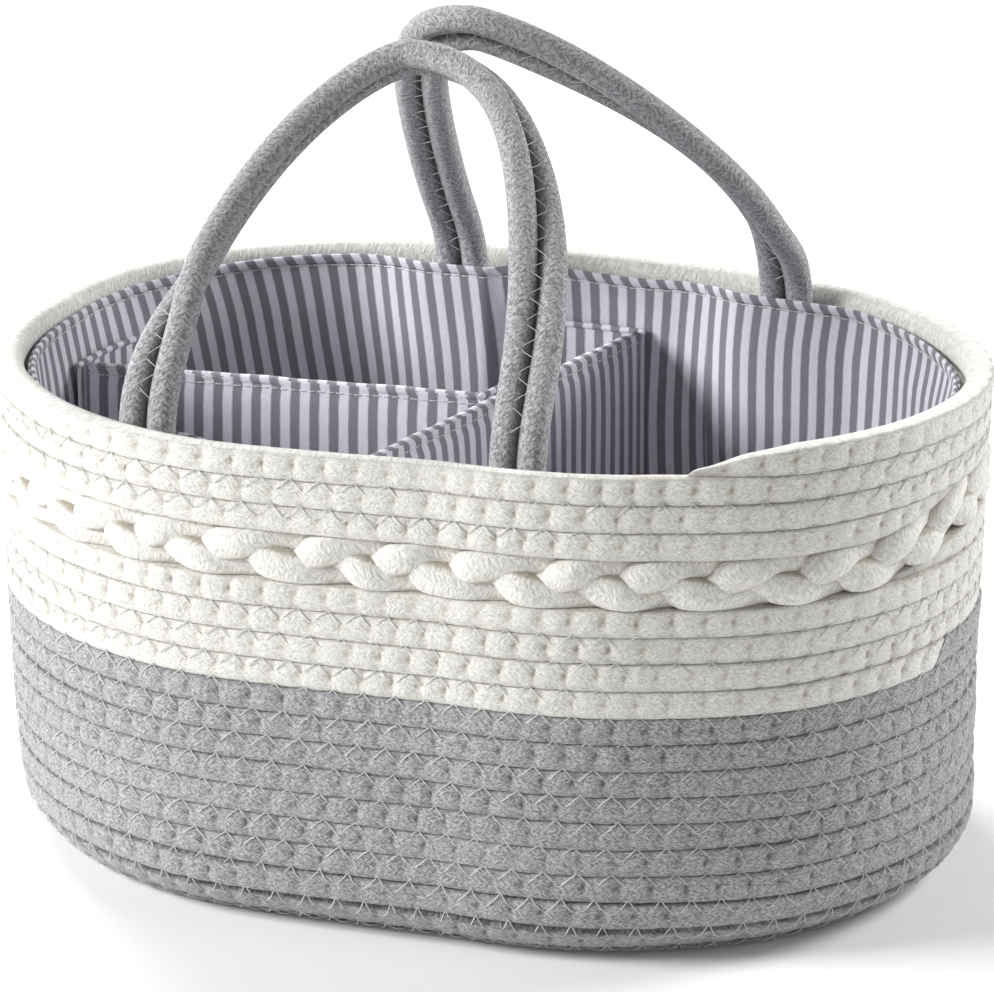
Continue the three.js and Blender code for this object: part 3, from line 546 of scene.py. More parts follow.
FACE = np.array([0.17, 0.34, 0.5, 0.64, 0.77, 0.87, 0.94, 0.985, 1])
FACE = np.concatenate([-FACE[::-1], [0], FACE])
BACK = np.array([0.85, 0.4, 0, -0.4, -0.85])
SECTION_UP = ROW_HALF * np.concatenate([FACE, BACK])
SECTION_OUT = np.concatenate([row_face(ROW_HALF * FACE), -ROPE_HALF * (1 - BACK ** 4) ** 0.25])
WEDGE, COIL_STEP, END_ROUNDING = 78.0, 1.4, 4.5


def coil_piece(name, start, end, look, node, lift=0.0, tapered=False, slants=(0, 0), wedges=(0, 0)):
    """A sewn rope; slants lean its end faces along the row, wedges thin its ends out up or down."""
    keys = keys_between(start, end, COIL_STEP)
    q, count = stitch_places(keys, lift)
    below = np.interp(keys - KEYS_PER_TURN, keys, count, left=0.3)
    angle, _ = place_of(keys)
    left = (end - angle) / TAPER_ANGLE if tapered else np.ones(len(keys))
    half = ROPE_HALF * np.minimum(1, TIP_SHARE + (1 - TIP_SHARE) * np.maximum(left, 0))
    share = (half / ROPE_HALF)[:, None]
    up, out = SECTION_UP + 0 * share, SECTION_OUT + 0 * share
    dent, painted_shades = pressed(count[:, None], below[:, None], up)
    front = smooth(out / 2.5)
    wander = 0.35 * np.sin(q / 61) + 0.25 * np.sin(q / 23 + 2)
    out = out + dent * front * share + wander[:, None]
    runs = (q, q[-1] - q)
    for slant, wedge, run in zip(slants, wedges, runs):
        if wedge:
            height = (0.06 + 0.94 * smooth(run / WEDGE))[:, None]
            up = wedge * ROW_HALF + (up - wedge * ROW_HALF) * height
            out = out * (0.4 + 0.6 * height)
        elif not slant:
            rounding = np.sqrt(np.clip(1 - (1 - np.minimum(run / END_ROUNDING, 1)) ** 2, 0.06, 1))[:, None]
            rounding = rounding * (0.5 + 0.5 * smooth(run / 22))[:, None] if tapered else rounding
            out, up = out * rounding, up * rounding - ROW_HALF * (1 - rounding) * tapered
    lean = sum(slant * np.exp(-run / 9) for slant, run in zip(slants, runs))
    key = keys[:, None] + lean[:, None] * up / (math.pi * WALL_RADIUS)
    points = on_winding(key, up * share, out * share, lift + (half - ROPE_HALF)[:, None])
    points[..., 2] = np.maximum(points[..., 2], 0)
    # Painted shade stays on the rope's front face and at its seams, and leaves the top of the rim's last
    # turn.
    painted_shades = painted_shades * np.maximum(front, 0.6 * (np.abs(SECTION_UP) > 4.9))
    if tapered:
        last_turn = smooth(8 * (keys - keys[-1] + KEYS_PER_TURN))
        painted_shades = painted_shades * (1 - last_turn[:, None] * (SECTION_UP > 3.5))
    tips = [0.25 * ring + 0.75 * ring.mean(0) for ring in (points[0], points[-1])]
    rings = np.concatenate([tips[:1], points, tips[1:]])
    lengths = np.concatenate([[q[0] - 2], q, [q[-1] + 2]])
    painted_shades = np.concatenate([painted_shades[:1], painted_shades, painted_shades[-1:]])
    form = tube_mesh(hand_made(rings), lengths, 2 * np.pi * ROPE_HALF)
    add_piece(name, form, look, "basket", [node], np.append(painted_shades.ravel(), [0, 0]))


def base_piece():
    """The base: a rope turned back round its own end, that eases into an even spiral."""
    keys = keys_between(90, BASE_END - 0.2, 2.5)
    angle, centre = place_of(keys)
    half = np.floor(keys / 2 + 1e-9)
    side = 1 - 2 * (half % 2)
    straight = np.clip(keys - 2 * half - 1, 0, 1)
    out = outward_of(angle)
    bent = out * (ROW_PITCH / 2 * (half + straight))[:, None]
    bent[:, 1] -= side * ROW_PITCH / 4 * (1 - 2 * straight)
    even = out * profile(ROW_PITCH * angle / 360)[0][:, None]
    share = np.clip((angle - 90) / (BASE_END - 90), 0, 1)[:, None]
    middle = bent * (1 - share) + even * share
    middle[:, 0] += centre
    middle[:, 2] = BASE_HEIGHT
    a = np.arange(14) / 14 * 2 * np.pi
    across = 5.05 * np.sign(np.cos(a)) * np.abs(np.cos(a)) ** 0.8
    up = ROPE_HALF * np.sign(np.sin(a)) * np.abs(np.sin(a)) ** 0.8
    q = travelled(middle)
    squeeze = 1 - 0.05 * np.sin(np.pi * q / STITCH_PITCH) ** 2
    rings = middle[:, None] + out[:, None] * across[:, None]
    rings[..., 2] += up * squeeze[:, None]
    rings[..., 2] = np.maximum(rings[..., 2], 0)
    form = tube_mesh(hand_made(rings), q, 2 * np.pi * ROPE_HALF)
    add_piece("base_rope", form, GREY, "basket", ["base_coil"], np.zeros(len(form[0])))


STITCH_REACH = ROW_PITCH / 2 + APEX_RISE - HOLE_RISE
APEX_HEIGHT = APEX_RISE - ROW_PITCH / 2
# A stitch's stations: share of its pitch, rows over its own, height in that row, rise off the rope's face
STITCH_PATH = [
    (0.10, 0, HOLE_RISE, -1.4),
    (0.16, 0, HOLE_RISE + 0.12 * STITCH_REACH, -0.5),
    (0.27, 0, HOLE_RISE + 0.36 * STITCH_REACH, 0.0),
    (0.40, 0, HOLE_RISE + 0.64 * STITCH_REACH, 0.2),
    (APEX_SHARE - 0.05, 1, APEX_HEIGHT - 0.9, -0.2),
    (APEX_SHARE, 1, APEX_HEIGHT, -0.9),
    (APEX_SHARE + 0.05, 1, APEX_HEIGHT - 0.9, -0.2),
    (0.78, 0, HOLE_RISE + 0.64 * STITCH_REACH, 0.2),
    (0.92, 0, HOLE_RISE + 0.36 * STITCH_REACH, 0.0),
    (1.04, 0, HOLE_RISE + 0.12 * STITCH_REACH, -0.5),
]


def row_stitches(name, start, end, lift=0.0):
    """The thread that sews each row to the next: down into a hole, up over the seam and back."""
    keys = keys_between(start, end, 2.0)
    _, count = stitch_places(keys, lift)
    k = np.arange(math.ceil(count[0]), math.floor(count[-1]) - 1)
    points = []
    for share, row, v, sink in STITCH_PATH:
        key = np.interp(k + share, count, keys) + KEYS_PER_TURN * row
        points.append(on_winding(key, v, row_face(v) + sink, lift))
    path = hand_made(np.stack(points, 1).reshape(-1, 3))
    path[:, 2] = np.maximum(path[:, 2], 2 * THREAD_RADIUS)
    add_piece(name, round_tube(path, THREAD_RADIUS, 5), WHITE_THREAD, "basket")


# Plaited band

PLAIT_STEP, PLAIT_CLEAR = 1.6, 0.1


def braid_strand(index):
    arc = math.pi * WALL_RADIUS
    half_girth = arc + 2 * END_CENTRE
    length = 2 * half_girth - 2 * PLAIT_CLEAR
    run = np.linspace(0, length, int(length / PLAIT_STEP))
    run = np.concatenate([run[:1], [0.05], run[1:-1], [length - 0.05], run[-1:]])
    at = WALL_RADIUS * math.radians(120) + PLAIT_CLEAR + run
    half = np.floor(at / half_girth)
    within = at - half * half_girth
    side = 1 - 2 * (half % 2)
    angle = -90 + 180 * half + np.degrees(np.minimum(within, arc) / WALL_RADIUS)
    centre = side * (END_CENTRE - np.maximum(within - arc, 0))
    period = 3 * length / round(3 * length / BRAID_PERIOD)
    round_trip = 2 * np.pi * run / length
    wobble = 0.12 * np.sin(11 * round_trip + index) + 0.08 * np.sin(31 * round_trip + 2 * index)
    wobble = wobble * smooth(np.minimum(run, length - run) / 60)
    phase = 2 * np.pi * (run / period + index / 3) + wobble
    out = outward_of(angle)
    low = profile(ROW_PITCH * SEAM_ANGLE / 360)[1] - ROW_PITCH / 2 + BRAID_HEIGHT / 2
    rise = low + ROW_PITCH * (angle - 30) / 360
    rise -= ROW_PITCH * (1 - smooth((length - run) / WEDGE))
    over = np.sin(2 * phase)
    middle = out * (WALL_RADIUS + 0.6 + 1.9 * over)[:, None]
    middle[:, 0] += centre
    a = np.arange(24) / 24 * 2 * np.pi
    tall = (4.4 + 2.2 * over)[:, None]
    deep = (3.2 + 0.5 * over)[:, None]
    swing = 4.7 * np.cos(phase)[:, None]
    edgewards = np.clip(np.sin(a) * np.tanh(2.5 * np.cos(phase))[:, None], 0, 1)
    reach = swing + (tall + (8.0 - tall) * edgewards) * np.sin(a)
    held = 9.5 * np.tanh((np.abs(reach) / 9.5) ** 4) ** (1 / 4) * np.sign(reach)
    rings = middle[:, None] + out[:, None] * (deep * np.cos(a))[..., None]
    rings[..., 2] = rise[:, None] + held
    # Painted shade in the creases between plait strands: strong along each strand's inner edge, faint along
    # its outer edge.
    inner = -np.sin(a) * np.sign(swing)
    painted_shades = smooth((inner - 0.66) / 0.28) + smooth((-inner - 0.9) / 0.1) * 0.35
    form = tube_mesh(hand_made(rings), run, 27.0)
    add_piece(f"plait_strand_{index + 1}", form, WHITE, "basket",
              [f"braid_strand_{index + 1}"], np.append(painted_shades.ravel(), [0, 0]))


# Liner

def pocket_share(x, side):
    """How fully the liner is drawn in by rope ends at x on one side, and where they stand."""
    total, depth = np.zeros_like(x), np.full_like(x, 1e9)
    for handle in (h for h in HANDLES.values() if h["side"] == side):
        inner = abs(handle["hinge"][0]) - HANDLE_RADIUS - 0.6
        for end in (-1, 1):
            foot = handle["shift"] + end * handle["span"]
            beyond = end * (x - foot)
            run = np.where(beyond > 0, POCKET_RUN, min(POCKET_RUN, abs(foot) - POCKET_FREE))
            share = smooth((POCKET_HALF + run - np.abs(beyond)) / run)
            depth = np.where(share > total, inner, depth)
            total = np.maximum(total, share)
    return total, depth


def on_liner(key, radius, z, depth, pocketed=1.0):
    """A point at a radius of the oval, with the bulges over the rope ends."""
    point = on_oval(key, radius)
    for side in (-1, 1):
        share, inner = pocket_share(point[..., 0], side)
        share = share * pocketed * (np.sign(point[..., 1]) == side)
        y = np.abs(point[..., 1])
        drawn = y * (1 - share) + np.minimum(y, inner - depth) * share
        point[..., 1] = np.where(share > 0, side * drawn, point[..., 1])
    point[..., 2] = z
    return point


FLAP_MIDDLES = (457, 720, 949)


def folds(s, z):
    """Soft upright folds of the liner, inwards."""
    loose = smooth((z - 20) / 60)
    one = np.sin(s / 19.0 + 0.6 * np.sin(z / 47)) * np.sin(s / 83.0 + 1)
    two = np.sin(s / 8.3 + 0.9 * np.sin(z / 31 + s / 90)) * np.sin(s / 51.0)
    sag = np.sin(z / 26 + 2.1 * np.sin(s / 64))
    free = 1 - 0.8 * sum(np.exp(-((s - middle) / 31) ** 4) for middle in FLAP_MIDDLES)
    return free * loose * (1.6 + 1.1 * one + 0.5 * two + 0.4 * sag)


def rim_follow(turn):
    """How much higher the liner's edge lies than its even height, where the coiled rim climbs."""
    return 0.2 + 3.2 * np.sin(turn) + 0.6 * np.cos(turn) - 6.0 * np.maximum(-np.sin(turn), 0) ** 2


def settled(ring, top_share=1.0):
    """Moves points of the liner's edge up or down: with the rim, up over the ropes, down between them."""
    x, y = ring[:, 0], ring[:, 1]
    share = pocket_share(x, 1)[0]
    between = np.exp(-((x - 14) / 34) ** 2)
    rear = (y > 0) * (1.6 * share - 2.0 * (1 - share) * between)
    ring[:, 2] += top_share * (rim_follow(np.arctan2(y, x)) + rear)
    return ring


def stripe_lean(s, fall):
    """How far the liner's stripes drift sideways on their way down, where the cloth hangs askew."""
    places = [0, 60, 130, 202, 300, 404, 500, 600, 703, 780, 850, 905, 955, 1001]
    slopes = [0.04, 0.12, 0.08, 0.28, 0.1, 0, 0, -0.05, -0.30, -0.34, -0.16, -0.08, -0.02, 0.04]
    low = 90 * (1 - np.exp(-fall / 90))
    return low * np.interp(s, places, slopes) + 0.9 * np.sin(fall / 17 + s / 33)


def once_round(step):
    """Keys once round the liner, and the distances travelled at them and back at the first."""
    keys = keys_between(-90, 270, step, LINER_RADIUS)
    return keys[:-1], travelled(on_oval(keys, LINER_INNER))


def build_liner():
    """The liner's wall, from the floor's rounded corner up to its edge."""
    wall_foot = FLOOR_BOTTOM + LINER_CORNER
    keys, s = once_round(2.6)
    rows = []
    for depth in (0.0, LINER_THICKNESS):
        bend = LINER_CORNER - depth
        side = [(LINER_RADIUS - LINER_CORNER + bend * np.sin(tilt), wall_foot - bend * np.cos(tilt), depth)
                for tilt in np.linspace(0, np.pi / 2, 6)]
        side += [(LINER_RADIUS - depth, z, depth) for z in np.linspace(wall_foot + 6, LINER_TOP, 34)]
        rows += side if depth == 0 else side[::-1]
    rings = []
    for radius, z, depth in rows:
        pocketed = float(smooth((z - (TAIL_BOTTOM - POCKET_FOOT)) / POCKET_FOOT))
        wave = folds(s[:-1], z) * (depth > 0) * smooth((LINER_TOP - z) / 22)
        ring = on_liner(keys, radius - wave, z + 0 * keys, depth, pocketed)
        rings.append(settled(ring, smooth((z - 60) / (LINER_TOP - 60))))
    rings = np.stack(rings, 1)
    p, faces, uv = tube_mesh(hand_made(rings), s, 1.0, closed=True)
    uv[:, 1] = p[faces[0].ravel(), 2]
    uv[:, 0] += stripe_lean(uv[:, 0], LINER_TOP - uv[:, 1])
    return add_piece("striped_liner", (p, faces, uv), STRIPES, "basket", ["liner_wall"])


# Section of the hem: depth in from the liner's outer face and height over its edge
HEM = [(1.2, -2.4), (0.9, -0.8), (1.1, 0.4), (1.6, 0.9), (2.2, 0.8), (2.6, 0.2), (2.7, -0.6),
       (2.6, -1.5), (2.35, -2.2), (2.2, -2.8), (1.9, -2.8), (1.8, -2.4)]


def build_hem():
    """The folded edge of the liner, with a straight seam under the fold."""
    keys, s = once_round(2.0)
    wave = 0.15 * np.sin(s[:-1] / 31) + 0.1 * np.sin(s[:-1] / 9.7 + 1)
    lift = 0.5 * np.sin(s[:-1] / 43 + 1) + 0.25 * np.sin(s[:-1] / 14)
    rings = []
    for depth, z in HEM:
        soft = wave * np.clip(depth / 4, 0, 1)
        ring = on_liner(keys, LINER_RADIUS - depth - soft, LINER_TOP + 0.6 + z + lift, depth + soft, 1.0)
        rings.append(settled(ring))
    rings = np.stack(rings, 1)
    p, faces, uv = tube_mesh(hand_made(rings), s, 1.0, closed=True)
    slant = np.array([0.6 * z + 2.0 for _, z in HEM])
    uv[:, 0] += slant[faces[0].ravel() % len(HEM)]
    uv[:, 1] = p[faces[0].ravel(), 2]
    hem = add_piece("liner_hem_fold", (p, faces, uv), STRIPES, "basket", ["liner_hem"])
    line = on_liner(keys, LINER_RADIUS - 2.1 - wave, LINER_TOP - 2.9 + lift, 2.1 + wave)
    line = hand_made(settled(line))
    line = np.vstack([line, line[:1]])
    inward = unit(stacked(-line[:, 0] * 0.6, -line[:, 1], 0))
    add_piece("liner_hem_stitches", dash_row(line, inward), CLOTH_THREAD, "basket")
    return hem


def build_floor():
    keys = keys_between(-90, 270, 6.0, FLAT_RADIUS)[:-1]
    edge = on_oval(keys, LINER_RADIUS - LINER_CORNER - 0.2)
    shares = np.linspace(1, 0.04, 16)
    top = np.stack([edge * f for f in shares], 1)
    puff = 0.5 * np.sin(top[..., 0] / 17) * np.sin(top[..., 1] / 21)
    top[..., 2] = FLOOR_TOP + 0.2 + puff * (1 - shares[None, :] ** 8)
    bottom = np.stack([edge * f for f in shares[::-1]], 1)
    bottom[..., 2] = FLOOR_BOTTOM
    rings = np.concatenate([top, bottom], 1)
    p, faces, _ = tube_mesh(rings, np.arange(len(edge) + 1), 1.0, closed=True)
    uv = p[faces[0].ravel()][:, :2]
    return add_piece("liner_floor_cloth", (p, faces, uv), STRIPES, "basket", ["liner_floor"])


# Flat cloth pieces: dividers, bindings, flaps and tapes

def slab(place, low, high, bottom, half, corner_low, corner_high, puff=0.0, step=4.0):
    """A closed cloth slab on a grid; place(x, depth, z) puts it in the basket."""
    top = DIVIDER_TOP
    nx, nz = max(4, int((high - low) / step)), max(4, int((top - bottom) / step))
    zs = bottom + (top - bottom) * (0.5 - 0.5 * np.cos(np.pi * np.linspace(0, 1, nz + 1)))
    share = 0.5 - 0.5 * np.cos(np.pi * np.linspace(0, 1, nx + 1))

    def inset(z, corner):
        up = np.clip(corner - (z - bottom), 0, corner)
        return corner - np.sqrt(np.maximum(corner ** 2 - up ** 2, 0))

    lows, highs = low + inset(zs, corner_low), high - inset(zs, corner_high)
    x = lows[None, :] + share[:, None] * (highs - lows)[None, :]
    z = np.broadcast_to(zs, x.shape)
    e = 2 * share[:, None] - 1
    f = 2 * (zs - bottom)[None, :] / (top - bottom) - 1
    crown = (1 - np.abs(e) ** 7) * (1 - np.abs(f) ** 9)
    if puff:
        seam = np.exp(-((top - 3.2 - zs) / 1.8) ** 2)[None, :]
        crown = crown * (1 - 0.9 * seam)
    wrinkle = 0.22 * np.sin(x / 11 + z / 37) * np.sin(z / 17 + x / 71)
    thick = half * (0.72 + 0.28 * crown) + (puff + wrinkle * (puff > 0)) * crown
    front, back = place(x, thick, z), place(x, -thick, z)
    n, m = x.shape
    points = np.concatenate([front.reshape(-1, 3), back.reshape(-1, 3)])
    quads, uv = grid_faces(n, m, False, False, x, z)
    rim = np.concatenate([np.arange(m), np.arange(1, n) * m + m - 1, (n - 1) * m + np.arange(m - 2, -1, -1),
                          np.arange(n - 2, 0, -1) * m])
    ahead = np.roll(rim, -1)
    edge = stacked(rim, ahead, ahead + n * m, rim + n * m)
    flat = stacked(x.ravel(), z.ravel())
    edge_uv = np.stack([flat[i] for i in (rim, ahead, ahead, rim)], 1)
    return closed_form(hand_made(points), [quads, quads[:, ::-1] + n * m, edge], [uv, uv[:, ::-1], edge_uv])


def standing(origin, turn):
    """Places (along, depth, z) of a panel that stands at an origin, turned about the upright axis."""
    c, s = math.cos(turn), math.sin(turn)

    def place(x, depth, z):
        return stacked(origin[0] + x * c - depth * s, origin[1] + x * s + depth * c, z)
    return place


def on_wall(start_key, direction):
    """Places (along, depth, z) of a flap on the liner's inner face."""
    per_mm = 1 / (2 * END_CENTRE if math.floor(start_key) % 2 else math.pi * LINER_INNER)

    def place(x, depth, z):
        point = on_oval(start_key + direction * x * per_mm, LINER_INNER - FLAP_DEPTH - depth * direction)
        point[..., 2] = z
        return point
    return place


SIDE_FACE = LINER_INNER - FLAP_STACK - 0.3
CROSS_HALF = (SIDE_FACE - PANEL_HALF * math.sin(CROSS_TURN)) / math.cos(CROSS_TURN)
CROSS_REACH = CROSS_HALF * math.sin(CROSS_TURN) + PANEL_HALF
MEET = CROSS_TURN + LONG_TURN
TO_CROSS = (CROSS_X * math.cos(CROSS_TURN) + LONG_Y * math.sin(CROSS_TURN)) / math.cos(MEET)
LONG_HIGH = TO_CROSS - (PANEL_HALF + FLAP_STACK + 0.3) / math.cos(MEET) - PANEL_HALF * math.tan(MEET)
END_FACE = END_CENTRE + LINER_INNER * math.cos(math.radians(90 / 11)) - FLAP_STACK - 0.3
LONG_LOW = -(END_FACE - PANEL_HALF * math.sin(LONG_TURN)) / math.cos(LONG_TURN)
CROSS = standing((CROSS_X, 0.0), math.pi / 2 - CROSS_TURN)
LONG = standing((0.0, LONG_Y), LONG_TURN)


# Section of a divider's bound edge: depth and height of one outer side, then of the lining
EDGE_SIDE = [(2.0, -3.1), (2.4, -2.2), (2.3, -1.2), (1.7, -0.5), (1.0, -0.1)]
BINDING = [(-y, z) for y, z in EDGE_SIDE] + [(0, 0.05)] + EDGE_SIDE[::-1]
BINDING += [(1.2, -3.0), (1.2, -2.2), (0, -1.4), (-1.2, -2.2), (-1.2, -3.0)]


def build_panel(name, place, low, high, corner_high):
    form = slab(place, low, high, DIVIDER_BOTTOM, PANEL_HALF, PANEL_CORNER, corner_high, puff=1.5)
    panel = add_piece(f"{name}_padded_panel", form, STRIPES, name, [f"{name}_cover"])
    x = np.linspace(low + 0.8, high - 0.8, int((high - low) / 3))
    wave = 0.25 * np.sin(x / 9.3) + 0.2 * np.sin(x / 4.1)
    top = DIVIDER_TOP + 0.8
    rings = np.stack([place(x, y + wave * np.sign(y) * 0.5, top + z + wave * 0.5) for y, z in BINDING], 1)
    p, faces, uv = tube_mesh(hand_made(rings), x, 1.0)
    heights = np.array([z for _, z in BINDING])
    uv[:, 0] += 0.5 * heights[np.concatenate([f.ravel() for f in faces]) % len(BINDING)] + 1.5
    add_piece(f"{name}_bound_edge", (p, faces, uv), STRIPES, name, [f"{name}_binding"])
    parts = []
    for side in (-1, 1):
        line = hand_made(place(x, side * (PANEL_HALF - 0.55 + 0 * x), top - 3.9 + wave * 0.5))
        normal = side * unit(place(x, 1 + 0 * x, 0) - place(x, 0 * x, 0))
        parts.append(dash_row(line, normal))
    add_piece(f"{name}_stitches", joined(parts), CLOTH_THREAD, name)


def build_flap(node, place):
    """A divider's flap with a tube along its top edge."""
    body = node.rsplit("_", 2)[0]
    form = slab(place, 0.0, FLAP_LENGTH, FLAP_BOTTOM, FLAP_THICKNESS / 2, *FLAP_CORNERS, step=5.0)
    name = node.replace("_flap", "_cloth_flap")
    flap = add_piece(name, form, STRIPES, body, [node])
    x = np.linspace(0.6, FLAP_LENGTH - 0.6, 24)
    edge = hand_made(place(x, 0 * x, DIVIDER_TOP + 0 * x))
    add_piece(f"{name}_bound_edge", round_tube(edge, FLAP_EDGE_RADIUS, 10), STRIPES, body)
    return flap


# Handles

def loop_path(handle, offset, steps=240):
    """Middle of one rope of a pair round its loop, before it leans."""
    turn = np.linspace(np.pi, 0, steps + 1)
    across, climb = np.cos(turn), np.abs(np.sin(turn))
    power = np.where(across < 0, handle["left"], handle["right"])
    climb = climb ** (2 / handle["crown"])
    height = KNUCKLE + (handle["rise"] - KNUCKLE) * climb
    spread = handle["span"] * np.sign(across) * np.abs(across) ** (2 / power)
    flat = stacked(spread + handle["sway"] * climb ** handle["power"], 0, height)
    fine = resampled(flat, 1.5)
    share = np.interp(travelled(fine) / travelled(fine)[-1], travelled(flat) / travelled(flat)[-1],
                      np.linspace(0, 1, steps + 1))
    tangent = unit(np.gradient(fine, axis=0))
    tangent[0], tangent[-1] = (0, 0, 1), (0, 0, -1)
    most, start, full, ease = handle["twist"]
    eased_in, eased_out = (share - start) / (full - start), (1 - share) / (1 - ease)
    twist = np.radians(most) * smooth(np.minimum(eased_in, eased_out))
    outward = stacked(-tangent[:, 2], 0, tangent[:, 0])
    inwards = np.array([0.0, handle["side"], 0.0])
    pair = outward * np.cos(twist)[:, None] + inwards * np.sin(twist)[:, None]
    return fine + offset * pair


def resampled(path, step):
    s = travelled(path)
    return at_distances(np.linspace(0, s[-1], max(2, int(s[-1] / step))), s, path)


def leaned(points, handle):
    """Points of an upright loop over its own hinge, leant over the basket."""
    lean = handle["side"] * math.radians(handle["lean"])
    c, s = math.cos(lean), math.sin(lean)
    x, y, z = points.T
    return stacked(x, c * y - s * z, s * y + c * z) + np.array([handle["shift"], *handle["hinge"]])


def eased(path, hinge_z, reach=16.0, rounds=60):
    """Rounds the bend of a rope where it leans from its upright end."""
    near = np.exp(-((path[:, 2] - hinge_z) / reach) ** 2)[:, None]
    for _ in range(rounds):
        mid = path.copy()
        mid[1:-1] = (path[:-2] + path[2:]) / 2
        path = path + (mid - path) * near
    return path


def build_handle(name, handle):
    y, hinge_z = handle["hinge"]
    ropes = []
    for offset in (PAIR_HALF, -PAIR_HALF):
        world = leaned(loop_path(handle, offset), handle)
        first, last = world[0], world[-1]
        z = np.arange(TAIL_BOTTOM, hinge_z - 5, 1.5)
        path = resampled(np.vstack([stacked(first[0], y, z), world, stacked(last[0], y, z)[::-1]]), 1.5)
        path = resampled(eased(path, hinge_z), 1.9)
        ropes.append(hand_made(path))
    for label, tails, path, partner in (("outer", (1, 4), *ropes), ("inner", (2, 3), *ropes[::-1])):
        form = round_tube(path, HANDLE_RADIUS, 18, start=(0.0, handle["side"], 0.0))
        # Painted shade in the groove where the rope lies against its partner.
        away = np.array([np.sqrt(((partner - q) ** 2).sum(1).min()) for q in form[0]])
        nodes = [f"{name}_{label}_rope", *(f"{name}_tail_{t}" for t in tails)]
        piece = add_piece(f"{name}_{label}_cord", form, GREY, None, nodes,
                          0.9 * smooth((CREASE_EDGE - away) / CREASE_DEPTH))
        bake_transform(piece)
    sew_pair(name, handle, ropes)


def sew_pair(name, handle, ropes):
    """Zigzag thread over the groove between the two ropes of a handle, on both faces."""
    a, b = ropes
    samples = np.linspace(0, 1, 700)
    pa = at_distances(samples, travelled(a) / travelled(a)[-1], a)
    nearest = np.array([np.argmin(((b - q) ** 2).sum(1)) for q in pa])
    pb = b[nearest]
    middle = (pa + pb) / 2
    keep = middle[:, 2] > handle["hinge"][1] - 4
    middle, across = middle[keep], unit(pa - pb)[keep]
    tangent = unit(np.gradient(middle, axis=0))
    normal = unit(np.cross(tangent, across))
    s = travelled(middle)
    parts = []
    for face in (-1, 1):
        count = int(s[-1] / SEWING_PITCH)
        turns = np.arange(count)[:, None] + np.array([0, 0.12, 0.5, 0.5, 0.5, 0.88])
        at = (turns * SEWING_PITCH + np.array([0, 0, -1.2, 0, 1.2, 0])).ravel()
        side = np.tile([-3.0, -2.2, 2.2, 3.0, 2.2, -2.2], count)
        out = np.tile([3.9, 4.55, 4.55, 3.9, 4.55, 4.55], count)
        path = (at_distances(at, s, middle) + at_distances(at, s, across) * side[:, None]
                + at_distances(at, s, normal) * (face * out)[:, None])
        parts.append(round_tube(path, SEWING_RADIUS, 5, start=normal[0]))
    piece = add_piece(f"{name}_sewing", joined(parts), GREY_THREAD)
    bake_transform(piece)


# Building

base_piece()
coil_piece("grey_wall_rope", BASE_END + END_GAP, COLOUR_ANGLE - END_GAP, GREY,
           "lower_wall_coil", slants=(0, -COLOUR_SLANT))
coil_piece("white_rope_under_the_plait", COLOUR_ANGLE + END_GAP, SEAM_ANGLE - SEAM_GAP, WHITE,
           "middle_wall_coil", slants=(-COLOUR_SLANT, 0), wedges=(0, -1))
wedge_angle = math.degrees(WEDGE / WALL_RADIUS)
coil_piece("white_rope_over_the_plait", SEAM_ANGLE + SEAM_GAP - wedge_angle, RIM_END, WHITE,
           "upper_wall_coil", BRAID_HEIGHT, True, wedges=(1, 0))
row_stitches("grey_row_stitches", BASE_END - 300, SEAM_ANGLE - 360)
row_stitches("rim_row_stitches", SEAM_ANGLE + 1, RIM_END - 360, BRAID_HEIGHT)
for index in range(3):
    braid_strand(index)

liner = build_liner()
hem = build_hem()
floor_cloth = build_floor()
build_panel("cross_divider", CROSS, -CROSS_HALF, CROSS_HALF, PANEL_CORNER)
build_panel("long_divider", LONG, LONG_LOW, LONG_HIGH, 7.0)


def straight_key(side, x):
    """Key of a place on the oval's straight front (side -1) or back."""
    return 2 + side + (END_CENTRE + side * x) / (2 * END_CENTRE)


left_y = LONG_Y + LONG_LOW * math.sin(LONG_TURN) - PANEL_HALF
meet_x = TO_CROSS * math.cos(LONG_TURN) - CROSS_X
meet_y = LONG_Y + TO_CROSS * math.sin(LONG_TURN)
meet_place = meet_x * math.sin(CROSS_TURN) + meet_y * math.cos(CROSS_TURN)
flap_low = meet_place - (PANEL_HALF + FLAP_STACK) * math.tan(MEET) - PANEL_HALF


def on_cross(x, depth, z):
    return CROSS(x + flap_low, depth + PANEL_HALF + FLAP_DEPTH, z)


flaps = [
    build_flap("cross_divider_front_flap", on_wall(straight_key(-1, CROSS_X - CROSS_REACH), -1)),
    build_flap("cross_divider_rear_flap", on_wall(straight_key(1, CROSS_X + CROSS_REACH), -1)),
    build_flap("long_divider_left_flap", on_wall(2.5 + math.asin(left_y / LINER_INNER) / math.pi, 1)),
    build_flap("long_divider_right_flap", on_cross),
]
for name, handle in HANDLES.items():
    build_handle(name, handle)

for node, cad in frame["nodes"].items():
    if node.endswith("_board"):
        cad.data.materials.clear()
        cad.data.materials.append(BOARD)
    elif node.endswith("_tape"):
        corners = np.array([cad.matrix_world @ v.co for v in cad.data.vertices]) / MM
        sides = [np.array([f.vertices[:]]) for f in cad.data.polygons]
        owner = next(b for b, names in frame["record"]["behaviour"]["bodies"].items() if node in names)
        form = hand_made(corners), sides, None
        add_piece(f"{node}_strip", form, TAPE, owner, [node], smoothed=False)


# Floor, light and camera, in metres

FLOOR_RADIUS, AMBIENT = 1.6, 0.09


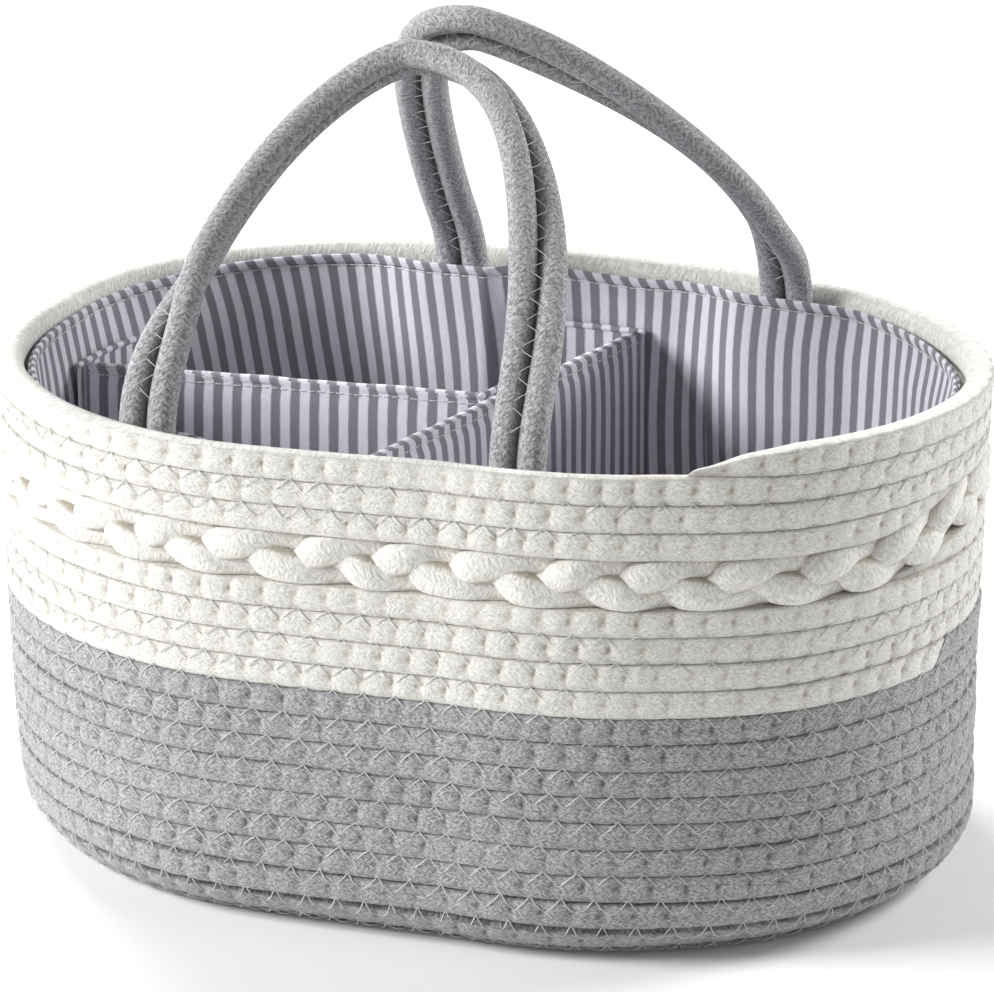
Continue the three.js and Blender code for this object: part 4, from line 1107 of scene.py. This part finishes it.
def build_stage():
    mesh = bpy.data.meshes.new("floor")
    turns = np.linspace(0, 2 * np.pi, 96, endpoint=False)
    edge = FLOOR_RADIUS * stacked(np.cos(turns), np.sin(turns), 0)
    mesh.from_pydata(edge.tolist(), [], [list(range(len(turns)))])
    floor = placed("floor", mesh)
    look = Look("floor", (0.95, 0.95, 0.95), 0.9)
    grain = look.noise(40.0, 2.0)
    colour = look.mix(look.ramp(grain, 0.4, 0.6, 0.0, 0.03), (0.96, 0.96, 0.96), (0.92, 0.92, 0.92))
    mesh.materials.append(look.finish(colour, grain, 0.00001))
    world = bpy.data.worlds.new("studio")
    bpy.context.scene.world = world
    world.use_nodes = True
    tree = world.node_tree
    background = tree.nodes["Background"]
    background.inputs["Color"].default_value = (1, 1, 1, 1)
    path = tree.nodes.new("ShaderNodeLightPath")
    seen = tree.nodes.new("ShaderNodeMapRange")
    seen.inputs["To Min"].default_value = AMBIENT
    tree.links.new(path.outputs["Is Camera Ray"], seen.inputs["Value"])
    tree.links.new(seen.outputs[0], background.inputs["Strength"])


# Name, place, height of the point aimed at, diameter and power
LAMPS = [
    ("left", (-2.0, -1.2, 1.3), 0.12, 1.2, 86),
    ("left_back", (-1.6, 1.6, 1.5), 0.12, 1.2, 50),
    ("right", (2.3, 0.3, 1.2), 0.15, 1.0, 4),
    ("right_back", (1.6, 1.8, 1.3), 0.12, 1.2, 64),
    ("front", (0.9, -2.5, 1.0), 0.1, 1.6, 10),
]


def add_lamp(name, place, aim, size, power):
    light = bpy.data.lights.new(name, "AREA")
    light.shape, light.size, light.energy = "DISK", size, power
    lamp = placed(name, light)
    lamp.location = place
    lamp.rotation_euler = (Vector((0, 0, aim)) - Vector(place)).to_track_quat("-Z", "Y").to_euler()


CAMERA = dict(azimuth=22.24, elevation=18.72, distance=1.98, aim=0.0973, lens=184.3, shift=(0.0109, 0.0808))


def add_camera():
    azimuth, elevation = math.radians(CAMERA["azimuth"]), math.radians(CAMERA["elevation"])
    back = Vector((math.sin(azimuth) * math.cos(elevation), -math.cos(azimuth) * math.cos(elevation),
                   math.sin(elevation)))
    camera = placed("camera", bpy.data.cameras.new("camera"))
    camera.location = Vector((0, 0, CAMERA["aim"])) + back * CAMERA["distance"]
    camera.rotation_euler = back.to_track_quat("Z", "Y").to_euler()
    camera.data.lens = CAMERA["lens"]
    camera.data.sensor_width = 36
    camera.data.shift_x, camera.data.shift_y = CAMERA["shift"]
    bpy.context.scene.camera = camera


build_stage()
for lamp in LAMPS:
    add_lamp(*lamp)
add_camera()
bpy.context.scene.view_settings.view_transform = "Standard"
